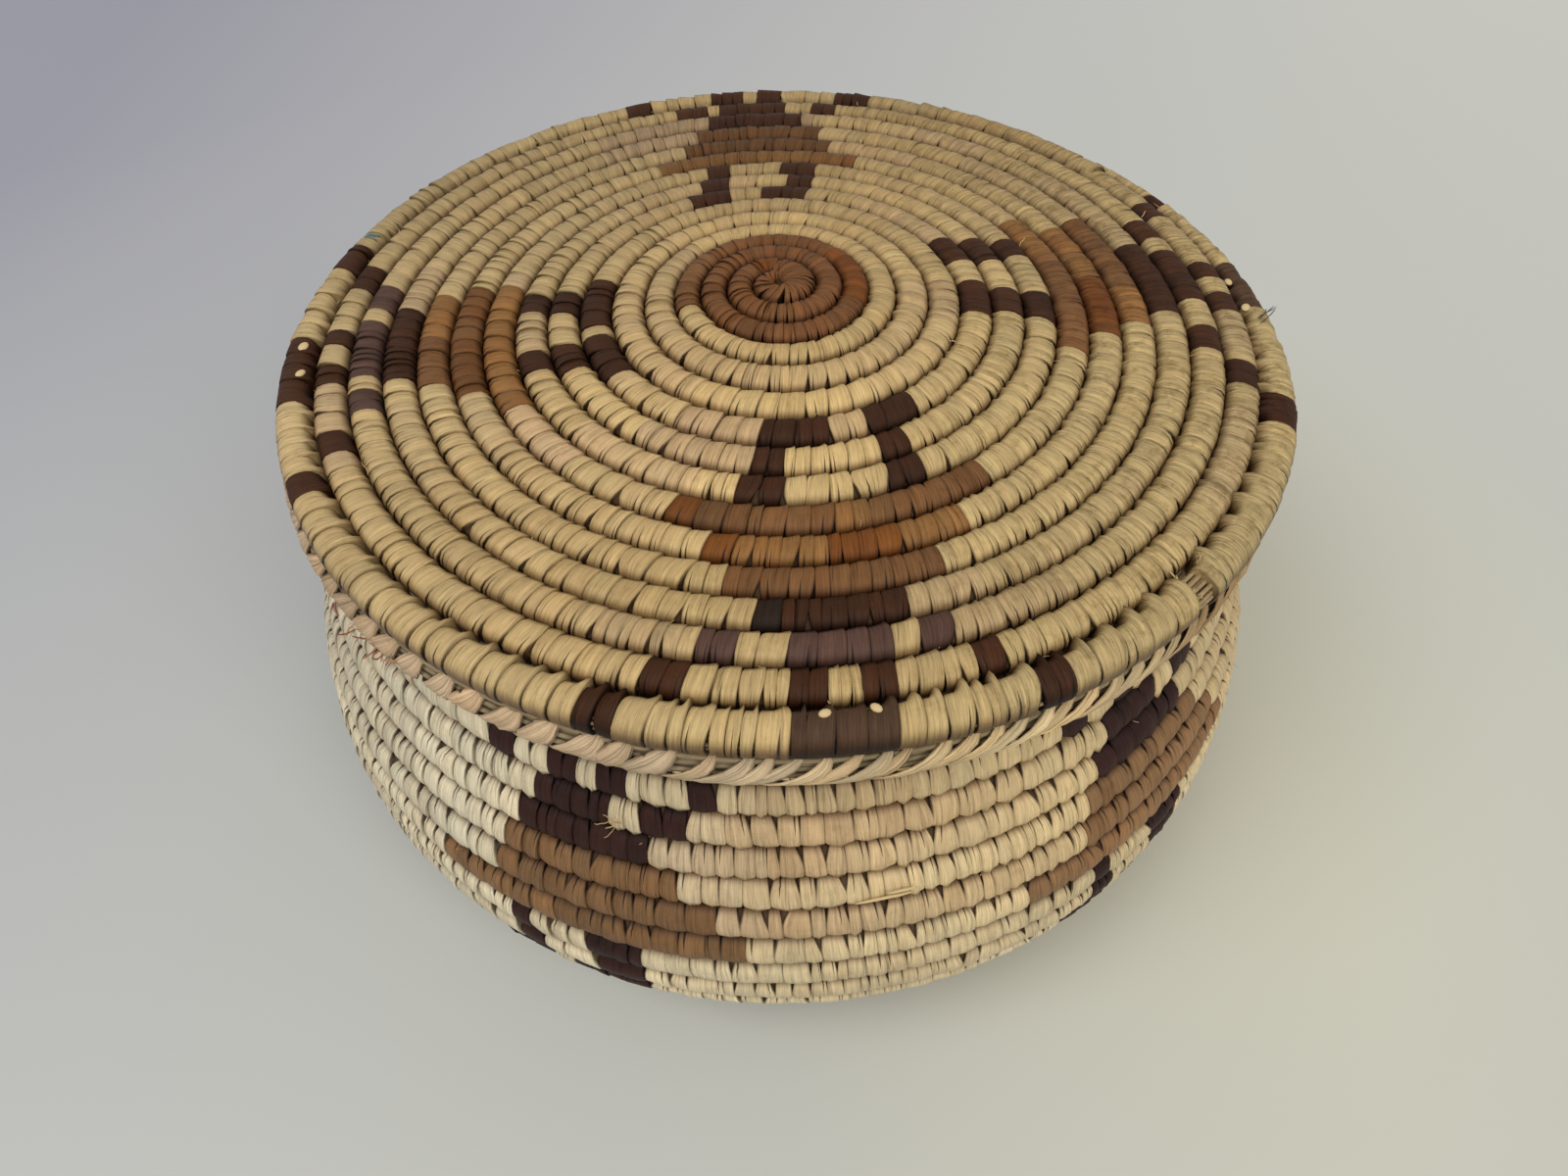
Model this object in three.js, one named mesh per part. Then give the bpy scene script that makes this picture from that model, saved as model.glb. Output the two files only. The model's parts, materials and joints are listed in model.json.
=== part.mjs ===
// Coiled reed basket with a lift-off lid, in millimetres, +Z up.
// The basket stands on z = 0 with its axis on Z. Every wall is one long coil: a bundle of
// grass wrapped in palm strip, laid turn on turn and stitched to the turn before it.
// The turns run counter-clockwise seen from above, outwards on the discs, upwards on the wall.

import * as THREE from 'three';

// Spacing of the coil, turn to turn, along the surface it makes.
const WALL_PITCH = 11;
const LID_PITCH = 10;
const CENTRE_PITCH = 8.1;
const TURN_CLEARANCE = 0.6;

// Thickness of the coil through the wall.
const WALL_THICKNESS = 9.2;
const LID_THICKNESS = 9.2;

// Outline of the basket, followed along the middle of its coil.
const BASE_RADIUS = 123;
const HEEL_RADIUS = 42;
const SHOULDER_RADIUS = 93;
const SHOULDER_LEAN = 24;
const NECK_LENGTH = 73;
const MOUTH_LEAN = 15;
const BELLY_SPLICE_RISE = 24;
const MOUTH_WEDGE_TURNS = 0.8;

// Dome of the lid: a low knob on a soft crown, then an edge that rolls down.
const KNOB_RISE = 2.5;
const KNOB_RADIUS = 50;
const CROWN_RISE = 9.5;
const CROWN_RADIUS = 120;
const EDGE_ROLL = 3;
const EDGE_ROLL_WIDTH = 27;
const DYED_CENTRE_TURNS = 3.8;

// The lid's outer turn is a fatter bundle in a sleeve of palm strip.
const RIM_WIDTH = 11;
const RIM_THICKNESS = 11.6;
const RIM_SLEEVE_WALL = 1.8;
const SLEEVE_CLEARANCE = 0.3;
const RIM_TAPER_TURNS = 0.15;
const RIM_TAPER_TO = 0.4;

// Bare grass bundle under the rim, which drops over the basket's neck.
const SKIRT_WIDTH = 7;
const SKIRT_DEPTH = 14;
const NECK_PLAY = 1.7;

// It follows the rim's spiral, so its radius grows by this much over its round.
const SKIRT_SPREAD = 3;

// Palm strip lashed round that bundle. Most of its advance is made on the outer side, so
// that the lashing slants there and runs straight behind.
const LASHING_WIDTH = 5;
const LASHING_THICKNESS = 0.9;
const LASHING_CLEARANCE = 0.6;
const LASHING_SPACING = 10.5;
const LASHING_OUTER_ADVANCE = 0.8;

// Fits and facets.
const SEAT_CLEARANCE = 0.3;
const BUTT_CLEARANCE = 0.4;
const STEPS_PER_TURN = 20;
const FINE_FROM_TURN = 4;
const START_TURN = 0.6;
const START_TAPER = 0.45;
const PROFILE_STEP = 0.25;

// The basket's coil passes the front this share of a turn out of step with the lid's.
const BASKET_LAG = 0.5;

const radians = THREE.MathUtils.degToRad;
const snapTurn = (turn) => Math.round(turn * STEPS_PER_TURN) / STEPS_PER_TURN;

// A profile is walked from the axis outwards as arcs: each stretch has a length and turns
// its heading by a given angle. Heading 0 runs outwards and 90 degrees runs up.
class WalkedProfile {
  constructor(startHeight, stretches) {
    this.points = [{ radius: 0, height: startHeight, heading: 0 }];
    let { radius, height, heading } = this.points[0];
    for (const stretch of stretches) {
      const steps = Math.ceil(stretch.length / PROFILE_STEP);
      const step = stretch.length / steps;
      for (let i = 0; i < steps; i += 1) {
        const middle = heading + stretch.turn / steps / 2;
        radius += step * Math.cos(middle);
        height += step * Math.sin(middle);
        heading += stretch.turn / steps;
        this.points.push({ radius, height, heading, along: 0 });
      }
    }
    this.measure();
  }

  measure() {
    let along = 0;
    this.points.forEach((point, i) => {
      const before = this.points[Math.max(i - 1, 0)];
      along += Math.hypot(point.radius - before.radius, point.height - before.height);
      point.along = along;
    });
    this.length = along;
  }

  at(along) {
    let low = 0;
    let high = this.points.length - 1;
    while (high - low > 1) {
      const middle = (low + high) >> 1;
      if (this.points[middle].along <= along) {
        low = middle;
      } else {
        high = middle;
      }
    }
    const a = this.points[low];
    const b = this.points[high];
    const mix = (along - a.along) / (b.along - a.along);
    return {
      radius: a.radius + (b.radius - a.radius) * mix,
      height: a.height + (b.height - a.height) * mix,
      heading: a.heading + (b.heading - a.heading) * mix,
    };
  }
}

// A section is a flat-faced hexagon: its ridges face the turns on both sides.
const HEXAGON = [[1, 0.5], [1, -0.5], [0, -1], [-1, -0.5], [-1, 0.5], [0, 1]];

function sectionCorners(section) {
  const across = { radius: Math.cos(section.heading), height: Math.sin(section.heading) };
  const outward = { radius: across.height, height: -across.radius };
  return HEXAGON.map(([thick, wide]) => ({
    radius: section.radius + outward.radius * thick * section.halfThickness
      + across.radius * wide * section.halfWidth,
    height: section.height + outward.height * thick * section.halfThickness
      + across.height * wide * section.halfWidth,
  }));
}

const lowestOf = (section) => Math.min(...sectionCorners(section).map((corner) => corner.height));

// The basket: a flat base, a round heel up to the widest place, a shoulder that leans in,
// and a neck that straightens towards the mouth.
const quarterTurn = Math.PI / 2;
const heelLength = HEEL_RADIUS * quarterTurn;
const shoulderLength = SHOULDER_RADIUS * radians(SHOULDER_LEAN);
const basketProfile = new WalkedProfile(WALL_THICKNESS / 2, [
  { length: BASE_RADIUS, turn: 0 },
  { length: heelLength, turn: quarterTurn },
  { length: shoulderLength, turn: radians(SHOULDER_LEAN) },
  { length: NECK_LENGTH, turn: radians(MOUTH_LEAN - SHOULDER_LEAN) },
]);

const wallWidth = WALL_PITCH - TURN_CLEARANCE;
const startRadius = 7;
const basketAlong = (turn) => startRadius + WALL_PITCH * (turn - 1);
const basketTurn = (along) => snapTurn((along - startRadius) / WALL_PITCH + 1);

// Growth of the coil out of the tight knot at a centre.
const startGrowth = (turn) => Math.min(1, START_TAPER + (1 - START_TAPER) * (turn - START_TURN));

function basketSection(turn) {
  const growth = startGrowth(turn);
  return {
    ...basketProfile.at(basketAlong(turn)),
    halfWidth: (wallWidth / 2) * growth,
    halfThickness: WALL_THICKNESS / 2,
  };
}

// The last turn thins from full width to a wedge, so that the mouth comes out level.
const mouthTurn = basketTurn(basketProfile.length - wallWidth / 2 - PROFILE_STEP);
const mouthLevel = basketAlong(mouthTurn) + wallWidth / 2;

function mouthSection(turn) {
  const lower = basketAlong(turn - 1) + wallWidth / 2 + TURN_CLEARANCE;
  return {
    ...basketProfile.at((lower + mouthLevel) / 2),
    halfWidth: (mouthLevel - lower) / 2,
    halfThickness: WALL_THICKNESS / 2,
  };
}

const mouthEdge = basketProfile.at(mouthLevel);

// The lid is set by the mouth it covers: its underside lies just over the mouth's edge, and
// its skirt passes outside the neck with some play.
const crownDrop = (radius) => {
  const knob = Math.min(radius / KNOB_RADIUS, 1);
  const share = Math.min(radius / CROWN_RADIUS, 1);
  const past = Math.max(radius - CROWN_RADIUS, 0) / EDGE_ROLL_WIDTH;
  return (KNOB_RISE * (1 - Math.cos(Math.PI * knob))) / 2
    + (CROWN_RISE * (1 - Math.cos(Math.PI * share))) / 2 + EDGE_ROLL * past * past;
};
const crownSlope = (radius) => crownDrop(radius + 0.5) - crownDrop(Math.max(radius - 0.5, 0));
const undersideDrop = (radius) => crownDrop(radius)
  + (LID_THICKNESS / 2) * (1 + Math.hypot(1, crownSlope(radius)));
const mouthRound = Array.from({ length: STEPS_PER_TURN + 1 }, (_, step) => step / STEPS_PER_TURN);
const mouthCorners = mouthRound.flatMap((share) => [
  ...sectionCorners(basketSection(mouthTurn - share)),
  ...sectionCorners(mouthSection(mouthTurn + share * MOUTH_WEDGE_TURNS)),
]);
const lidTop = SEAT_CLEARANCE
  + Math.max(...mouthCorners.map((corner) => corner.height + undersideDrop(corner.radius)));

function neckOuterRadius(depth) {
  const zone = basketProfile.points.filter((point) => point.height > mouthEdge.height - depth);
  const outer = zone.map((point) => point.radius + (WALL_THICKNESS / 2) * Math.sin(point.heading));
  return Math.max(...outer);
}
const lashingReach = LASHING_CLEARANCE + LASHING_THICKNESS;
const skirtRadius = neckOuterRadius(SKIRT_DEPTH) + NECK_PLAY + lashingReach + SKIRT_WIDTH / 2;

// The lid's profile, sampled from its dome and measured along its middle.
class LidProfile extends WalkedProfile {
  constructor(reach) {
    super(lidTop - LID_THICKNESS / 2, [{ length: reach, turn: 0 }]);
    this.points.forEach((point) => {
      point.height = lidTop - LID_THICKNESS / 2 - crownDrop(point.radius);
      point.heading = -Math.atan(crownSlope(point.radius));
    });
    this.measure();
  }
}
const lidProfile = new LidProfile(skirtRadius + 4 * LID_PITCH);

const lidWidth = LID_PITCH - TURN_CLEARANCE;
const centreWidth = CENTRE_PITCH - TURN_CLEARANCE;
const centreStart = 5.4;
const centreFull = 4;

// The tight dyed turns at the centre lie closer than the rest of the lid.
function lidAlong(turn) {
  if (turn <= centreFull) return centreStart + CENTRE_PITCH * (turn - 1);
  const centreReach = centreStart + CENTRE_PITCH * (centreFull - 1);
  const easing = (LID_PITCH - CENTRE_PITCH) * Math.min(turn - centreFull, 1);
  return centreReach + CENTRE_PITCH * Math.min(turn - centreFull, 1)
    + LID_PITCH * Math.max(turn - centreFull - 1, 0) + easing * 0.5 * Math.min(turn - centreFull, 1);
}

function lidSection(turn) {
  const growth = startGrowth(turn);
  const grown = Math.min(Math.max(turn - centreFull, 0), 1);
  const width = centreWidth + (lidWidth - centreWidth) * grown;
  return {
    ...lidProfile.at(lidAlong(turn)),
    halfWidth: (width / 2) * growth,
    halfThickness: LID_THICKNESS / 2,
  };
}

// The rim is the turn whose middle radius, over its whole round, lies on the skirt's.
let rimStart = centreFull + 1;
while (lidAlong(rimStart + 0.5) + (RIM_WIDTH - lidWidth) / 2 < skirtRadius) {
  rimStart = snapTurn(rimStart + 1 / STEPS_PER_TURN);
}
const rimEnd = rimStart + 1;

function rimSection(turn, inset) {
  const left = Math.min(Math.max((rimEnd - turn) / RIM_TAPER_TURNS, 0), 1);
  const size = RIM_TAPER_TO + (1 - RIM_TAPER_TO) * left;
  const inner = lidAlong(turn - 1) + lidWidth / 2 + TURN_CLEARANCE;
  return {
    ...lidProfile.at(inner + (RIM_WIDTH * size) / 2),
    halfWidth: (RIM_WIDTH / 2) * size - inset,
    halfThickness: (RIM_THICKNESS / 2) * (0.5 + 0.5 * size) - inset,
  };
}

// The skirt hangs under the rim, all the way round, with room for its lashing in between.
function skirtSection(turn, reach = 0) {
  const hang = SEAT_CLEARANCE + lashingReach + SKIRT_WIDTH / 2;
  return {
    radius: skirtRadius + SKIRT_SPREAD * (turn - rimStart),
    height: lowestOf(rimSection(turn, 0)) - hang,
    heading: 0,
    halfWidth: SKIRT_WIDTH / 2 + reach,
    halfThickness: SKIRT_WIDTH / 2 + reach,
  };
}

// Turns at which a tube has a ring of points: whole steps of a turn, and its two ends.
function ringTurns(from, to) {
  const turns = [from];
  const near = 0.2 / STEPS_PER_TURN;
  for (let step = 0; step / STEPS_PER_TURN < to; step += 1) {
    const turn = step / STEPS_PER_TURN;
    const wanted = turn >= FINE_FROM_TURN || step % 2 === 0;
    if (wanted && turn > from + near && turn < to - near) turns.push(turn);
  }
  turns.push(to);
  return turns;
}

// The coil is pressed flat where the basket stands on the ground, at height 0.
function placeCorner(corner, turn) {
  const angle = radians(270) + 2 * Math.PI * turn;
  const height = Math.max(corner.height, 0);
  return [corner.radius * Math.cos(angle), corner.radius * Math.sin(angle), height];
}

const placedSection = (sectionAt, turn) => sectionCorners(sectionAt(turn))
  .map((corner) => placeCorner(corner, turn));

// One unbroken tube through rings of points, closed at both ends. With a bore it is an open
// sleeve.
function tubeGeometry(rings, bores = []) {
  const bored = bores.length > 0;
  const sides = rings[0].length;
  const positions = [...rings, ...bores].flat(2);
  const index = [];
  const corner = (ring, side) => ring * sides + (side % sides);
  const quad = (a, b, c, d) => index.push(a, c, b, a, d, c);
  for (let ring = 0; ring < rings.length - 1; ring += 1) {
    for (let side = 0; side < sides; side += 1) {
      quad(corner(ring, side), corner(ring + 1, side), corner(ring + 1, side + 1), corner(ring, side + 1));
      if (bored) {
        const inner = ring + rings.length;
        quad(corner(inner, side), corner(inner, side + 1), corner(inner + 1, side + 1), corner(inner + 1, side));
      }
    }
  }
  const last = rings.length - 1;
  for (let side = 0; side < sides; side += 1) {
    if (bored) {
      const inner = rings.length;
      quad(corner(0, side), corner(0, side + 1), corner(inner, side + 1), corner(inner, side));
      quad(corner(last, side), corner(last + inner, side), corner(last + inner, side + 1), corner(last, side + 1));
    } else if (side > 0 && side < sides - 1) {
      index.push(corner(0, 0), corner(0, side + 1), corner(0, side));
      index.push(corner(last, 0), corner(last, side), corner(last, side + 1));
    }
  }
  const geometry = new THREE.BufferGeometry();
  geometry.setAttribute('position', new THREE.Float32BufferAttribute(positions, 3));
  geometry.setIndex(index);
  geometry.computeVertexNormals();
  return geometry;
}

// Least distance between points of a tube that lie more than half a turn apart along it,
// taken on the corners of every ring and halfway along every edge between rings.
function leastSelfGap(rings, turns) {
  const samples = [];
  rings.forEach((ring, i) => {
    ring.forEach((point) => samples.push({ turn: turns[i], point }));
    if (i + 1 < rings.length) {
      ring.forEach((point, side) => {
        const middle = point.map((value, axis) => (value + rings[i + 1][side][axis]) / 2);
        samples.push({ turn: (turns[i] + turns[i + 1]) / 2, point: middle });
      });
    }
  });
  let least = Infinity;
  samples.forEach((a, i) => {
    for (let j = i + 1; j < samples.length && samples[j].turn - a.turn < 1.6; j += 1) {
      const b = samples[j];
      if (b.turn - a.turn > 0.5) {
        const gap = Math.hypot(a.point[0] - b.point[0], a.point[1] - b.point[1], a.point[2] - b.point[2]);
        least = Math.min(least, gap);
      }
    }
  });
  return least;
}

const palmStraw = { color: 0xcbb182, roughness: 0.6, metalness: 0 };
const palmRust = { color: 0x7a5138, roughness: 0.6, metalness: 0 };
const palmPale = { color: 0xc3a184, roughness: 0.6, metalness: 0 };
const bareGrass = { color: 0x938663, roughness: 0.8, metalness: 0 };

const model = new THREE.Group();

// Turns taken up by a clearance along the coil at this turn.
const turnsOf = (clearance, section) => clearance / (2 * Math.PI * section.radius);

function addTube(group, name, rings, turns, finish, bores) {
  const mesh = new THREE.Mesh(tubeGeometry(rings, bores), new THREE.MeshStandardMaterial(finish));
  mesh.name = name;
  group.add(mesh);
  const gap = leastSelfGap(rings, turns);
  const length = (turns[turns.length - 1] - turns[0]).toFixed(2);
  const said = Number.isFinite(gap) ? `${gap.toFixed(2)} mm` : 'one turn only';
  console.log(`${name}: ${length} turns, least gap to itself ${said}`);
}

function addCoil(group, name, sectionAt, from, to, finish, boreAt) {
  const start = from + turnsOf(BUTT_CLEARANCE, sectionAt(from));
  const turns = ringTurns(start, to);
  const rings = turns.map((turn) => placedSection(sectionAt, turn));
  const bores = boreAt ? turns.map((turn) => placedSection(boreAt, turn)) : [];
  addTube(group, name, rings, turns, finish, bores);
}

// A point on the skirt's faceted surface, pushed out by a reach, at one of its six edges.
function skirtPoint(turn, edge, reach) {
  const step = Math.floor(turn * STEPS_PER_TURN);
  const share = turn * STEPS_PER_TURN - step;
  const section = (at) => skirtSection(at, reach);
  const before = placedSection(section, step / STEPS_PER_TURN)[edge];
  const after = placedSection(section, (step + 1) / STEPS_PER_TURN)[edge];
  return before.map((value, axis) => value + (after[axis] - value) * share);
}

// The lashing passes each edge of the skirt once a wrap: up the outer side, over, and down.
function addLashing(group, name, from, to, finish) {
  const edges = [0, 5, 4, 3, 2, 1];
  const outerSteps = 2;
  const outerShare = LASHING_OUTER_ADVANCE / outerSteps;
  const innerShare = (1 - LASHING_OUTER_ADVANCE) / (edges.length - outerSteps);
  const spacing = turnsOf(LASHING_SPACING, skirtSection(from));
  const halfWidth = turnsOf(LASHING_WIDTH / 2, skirtSection(from));
  const wraps = Math.floor((to - from - 2 * halfWidth) / spacing);
  const turns = [];
  const rings = [];
  for (let step = 0; step < wraps * edges.length; step += 1) {
    const inWrap = step % edges.length;
    const advance = Math.min(inWrap, outerSteps) * outerShare
      + Math.max(inWrap - outerSteps, 0) * innerShare;
    const wrap = Math.floor(step / edges.length) + advance;
    const middle = from + halfWidth + wrap * spacing;
    const edge = edges[inWrap];
    turns.push(step / edges.length);
    rings.push([
      skirtPoint(middle - halfWidth, edge, lashingReach),
      skirtPoint(middle + halfWidth, edge, lashingReach),
      skirtPoint(middle + halfWidth, edge, LASHING_CLEARANCE),
      skirtPoint(middle - halfWidth, edge, LASHING_CLEARANCE),
    ]);
  }
  addTube(group, name, rings, turns, finish);
}

// The basket: base, belly and shoulder are lengths of one coil, which meet end to end.
const basket = new THREE.Group();
const footTurn = basketTurn(BASE_RADIUS);
const spliceTurn = basketTurn(BASE_RADIUS + heelLength + BELLY_SPLICE_RISE);
addCoil(basket, 'basket_base_coil', basketSection, START_TURN, footTurn, palmStraw);
addCoil(basket, 'basket_belly_coil', basketSection, footTurn, spliceTurn, palmStraw);
addCoil(basket, 'basket_shoulder_coil', basketSection, spliceTurn, mouthTurn, palmStraw);
addCoil(basket, 'basket_mouth_coil', mouthSection, mouthTurn, mouthTurn + MOUTH_WEDGE_TURNS, palmStraw);
basket.rotation.z = 2 * Math.PI * BASKET_LAG;
model.add(basket);

// The lid: a dyed centre, the disc, the fat rim in its sleeve, and the bare skirt under it.
const lid = new THREE.Group();
addCoil(lid, 'lid_centre_coil', lidSection, START_TURN, DYED_CENTRE_TURNS, palmRust);
addCoil(lid, 'lid_disc_coil', lidSection, DYED_CENTRE_TURNS, rimStart, palmStraw);
addCoil(
  lid, 'lid_rim_wrap', (turn) => rimSection(turn, 0), rimStart, rimEnd, palmStraw,
  (turn) => rimSection(turn, RIM_SLEEVE_WALL),
);
addCoil(
  lid, 'lid_rim_core', (turn) => rimSection(turn, RIM_SLEEVE_WALL + SLEEVE_CLEARANCE),
  rimStart, rimEnd, bareGrass,
);
addCoil(lid, 'lid_skirt_bundle', (turn) => skirtSection(turn), rimStart, rimEnd, bareGrass);
addLashing(lid, 'lid_skirt_lashing', rimStart, rimEnd, palmPale);
model.add(lid);

console.log(`mouth edge at radius ${mouthEdge.radius.toFixed(1)}, height ${mouthEdge.height.toFixed(1)}`);
console.log(`lid top at height ${lidTop.toFixed(1)}, skirt radius ${skirtRadius.toFixed(1)}`);

export default model;
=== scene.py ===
# %% [markdown]
# # A coiled basket with its lid
#
# The object is a round basket of coiled grass, sewn with strips of palm leaf. A bundle of grass
# is wound round and round like a snail's shell, and a flat strip is wrapped over it again and
# again. Each wrap also bites into the turn below, which holds the basket together.
# Dyed strips draw small figures on the lid and on the wall.
#
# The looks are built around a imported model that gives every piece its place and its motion:
# `basket` stands still, and `lid` lifts straight up.

# %% Load the fixed frame
import bisect
import json
import math
import random

import bpy
import bmesh
from mathutils import Matrix, Vector

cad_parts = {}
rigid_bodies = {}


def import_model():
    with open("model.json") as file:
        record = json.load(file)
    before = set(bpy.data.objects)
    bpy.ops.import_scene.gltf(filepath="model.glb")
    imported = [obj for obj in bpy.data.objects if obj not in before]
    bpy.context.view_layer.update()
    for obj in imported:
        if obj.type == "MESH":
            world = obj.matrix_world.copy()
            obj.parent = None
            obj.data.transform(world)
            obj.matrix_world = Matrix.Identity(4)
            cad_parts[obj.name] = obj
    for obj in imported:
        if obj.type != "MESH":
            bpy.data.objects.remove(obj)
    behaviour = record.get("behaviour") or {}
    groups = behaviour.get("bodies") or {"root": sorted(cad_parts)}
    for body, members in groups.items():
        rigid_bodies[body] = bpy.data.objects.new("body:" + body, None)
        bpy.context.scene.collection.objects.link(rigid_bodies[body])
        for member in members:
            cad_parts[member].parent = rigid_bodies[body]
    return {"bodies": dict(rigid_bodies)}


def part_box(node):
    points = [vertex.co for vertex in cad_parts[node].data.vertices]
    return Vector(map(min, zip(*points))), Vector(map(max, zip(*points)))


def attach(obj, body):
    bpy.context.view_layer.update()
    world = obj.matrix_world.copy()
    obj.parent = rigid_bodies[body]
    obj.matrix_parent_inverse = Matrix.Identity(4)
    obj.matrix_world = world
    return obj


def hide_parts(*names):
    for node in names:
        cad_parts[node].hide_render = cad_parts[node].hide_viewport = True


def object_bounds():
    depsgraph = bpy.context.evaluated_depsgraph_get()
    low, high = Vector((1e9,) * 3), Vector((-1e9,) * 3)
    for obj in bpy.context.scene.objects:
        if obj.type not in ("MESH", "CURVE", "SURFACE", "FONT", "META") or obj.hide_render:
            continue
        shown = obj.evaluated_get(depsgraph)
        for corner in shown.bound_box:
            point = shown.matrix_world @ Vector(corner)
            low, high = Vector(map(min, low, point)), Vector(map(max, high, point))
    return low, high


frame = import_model()
cad_low, cad_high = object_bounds()
print("bodies:", sorted(frame["bodies"]), "box:", [round(v, 4) for v in (*cad_low, *cad_high)])

# %% [markdown]
# ## The run of the coil
#
# Seen in section, the wall is a flat base, a round heel, a shoulder that leans in and a nearly
# straight neck. The coil climbs this curve by one pitch per turn, so a single number, the turn,
# says where it is, and every wrap can be placed by a formula. Lengths here are in millimetres,
# as a basket maker would measure them, and become metres at the last moment.

# %% Sizes of the basket's coil
WALL_PITCH = 11.0
WALL_THICKNESS = 9.2
BASE_RADIUS = 123.0
HEEL_RADIUS = 42.0
SHOULDER_RADIUS = 93.0
SHOULDER_LEAN = math.radians(24)
NECK_LENGTH = 73.0
MOUTH_LEAN = math.radians(15)
BASKET_START = 7.0
BASKET_FRONT = math.radians(90)
PROFILE_STEP = 0.25


def walk(height, stretches):
    """Follows arcs outwards from the axis: rows of (along, radius, height, heading)."""
    rows = [(0.0, 0.0, height, 0.0)]
    for length, bend in stretches:
        steps = math.ceil(length / PROFILE_STEP)
        piece = length / steps
        for _ in range(steps):
            along, radius, high, heading = rows[-1]
            middle = heading + bend / steps / 2
            rows.append((along + piece, radius + piece * math.cos(middle),
                         high + piece * math.sin(middle), heading + bend / steps))
    return rows


def on_profile(rows, along):
    """The (radius, height, heading) of a point that far along a profile."""
    at = min(max(bisect.bisect_right(rows, (along, math.inf)), 1), len(rows) - 1)
    a, b = rows[at - 1], rows[at]
    share = (along - a[0]) / (b[0] - a[0])
    return tuple(a[i] + (b[i] - a[i]) * share for i in (1, 2, 3))


wall_profile = walk(WALL_THICKNESS / 2, [
    (BASE_RADIUS, 0.0),
    (HEEL_RADIUS * math.pi / 2, math.pi / 2),
    (SHOULDER_RADIUS * SHOULDER_LEAN, SHOULDER_LEAN),
    (NECK_LENGTH, MOUTH_LEAN - SHOULDER_LEAN),
])
print("wall profile is", round(wall_profile[-1][0], 1), "mm long, mouth at", wall_profile[-1][1:3])

# %% [markdown]
# Each section of coil is told by its middle, its heading, and half its width and thickness. The
# heading is the way that the wall runs there: zero on the flat base, a right angle where the
# wall stands upright. At the mouth the last turn thins to a wedge, so that the edge comes out
# level.

# %% Sections of the basket's coil
START_TURN = 0.6
FOOT_TURN = 11.55
SPLICE_TURN = 19.7
MOUTH_TURN = 27.25
MOUTH_END = 28.05
MOUTH_RISE = 5.2
MOUTH_LEVEL = BASKET_START + WALL_PITCH * (MOUTH_TURN - 1) + MOUTH_RISE


def knot_growth(turn):
    """How much of its full width the coil has, out of the tight knot at a centre."""
    return min(1.0, 0.45 + 0.55 * (turn - START_TURN))


def basket_section(turn):
    """Middle, heading and half sizes of the basket's coil at a turn."""
    along = BASKET_START + WALL_PITCH * (turn - 1)
    half = WALL_PITCH / 2 * knot_growth(turn)
    if turn > MOUTH_TURN:
        lower = along - WALL_PITCH / 2
        along = (lower + MOUTH_LEVEL) / 2
        half = (MOUTH_LEVEL - lower) / 2
    return (*on_profile(wall_profile, along), half, WALL_THICKNESS / 2)


BASKET_COIL = (basket_section, BASKET_FRONT)
print("widest turn:", [round(v, 1) for v in basket_section(17.5)])

# %% [markdown]
# The lid is a shallow dome with a low knob in the middle, coiled the same way but a little finer.
# Its centre is a tight dyed knot. Its last turn is a fatter bundle that makes the rim.

# %% Sections of the lid's coil
LID_PITCH = 10.0
LID_THICKNESS = 9.2
LID_START = 5.4
LID_REACH = 190.0
LID_FRONT = math.radians(270)
CENTRE_PITCH = 8.1
CENTRE_TURNS = 4
CENTRE_END = 3.8
KNOB_RISE = 2.5
KNOB_RADIUS = 50.0
CROWN_RISE = 9.5
CROWN_RADIUS = 120.0
EDGE_ROLL = 3.0
EDGE_ROLL_WIDTH = 27.0
RIM_START = 15.35
RIM_END = 16.35
RIM_WIDTH = 11.0
RIM_THICKNESS = 11.6
RIM_GAP = 0.3
RIM_TAPER_TURNS = 0.15
RIM_TAPER_TO = 0.4
lid_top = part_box("lid_centre_coil")[1].z * 1000


def clamp(value):
    """The value, kept between none and all."""
    return min(1.0, max(0.0, value))


def eased_drop(drop, reach, radius):
    """A drop that begins and ends gently, and is over at its reach."""
    return drop * (1 - math.cos(math.pi * min(radius / reach, 1))) / 2


def crown_drop(radius):
    """How far the dome has come down from its top at a radius."""
    knob = eased_drop(KNOB_RISE, KNOB_RADIUS, radius)
    crown = eased_drop(CROWN_RISE, CROWN_RADIUS, radius)
    return knob + crown + EDGE_ROLL * (max(radius - CROWN_RADIUS, 0) / EDGE_ROLL_WIDTH) ** 2


def lid_profile_rows():
    """The dome measured along its middle, in the same rows as the wall's profile."""
    rows, along, before = [], 0.0, None
    for step in range(int(LID_REACH / PROFILE_STEP)):
        radius = step * PROFILE_STEP
        high = lid_top - LID_THICKNESS / 2 - crown_drop(radius)
        slope = crown_drop(radius + 0.5) - crown_drop(max(radius - 0.5, 0))
        if before:
            along += math.hypot(radius - before[0], high - before[1])
        rows.append((along, radius, high, -math.atan(slope)))
        before = (radius, high)
    return rows


lid_profile = lid_profile_rows()


def lid_along(turn):
    """Distance from the lid's middle to the coil's middle, along the dome."""
    if turn <= CENTRE_TURNS:
        return LID_START + CENTRE_PITCH * (turn - 1)
    eased = min(turn - CENTRE_TURNS, 1)
    easing = (LID_PITCH - CENTRE_PITCH) * eased * 0.5 * eased
    beyond = max(turn - CENTRE_TURNS - 1, 0)
    return LID_START + CENTRE_PITCH * (CENTRE_TURNS - 1 + eased) + LID_PITCH * beyond + easing


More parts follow.
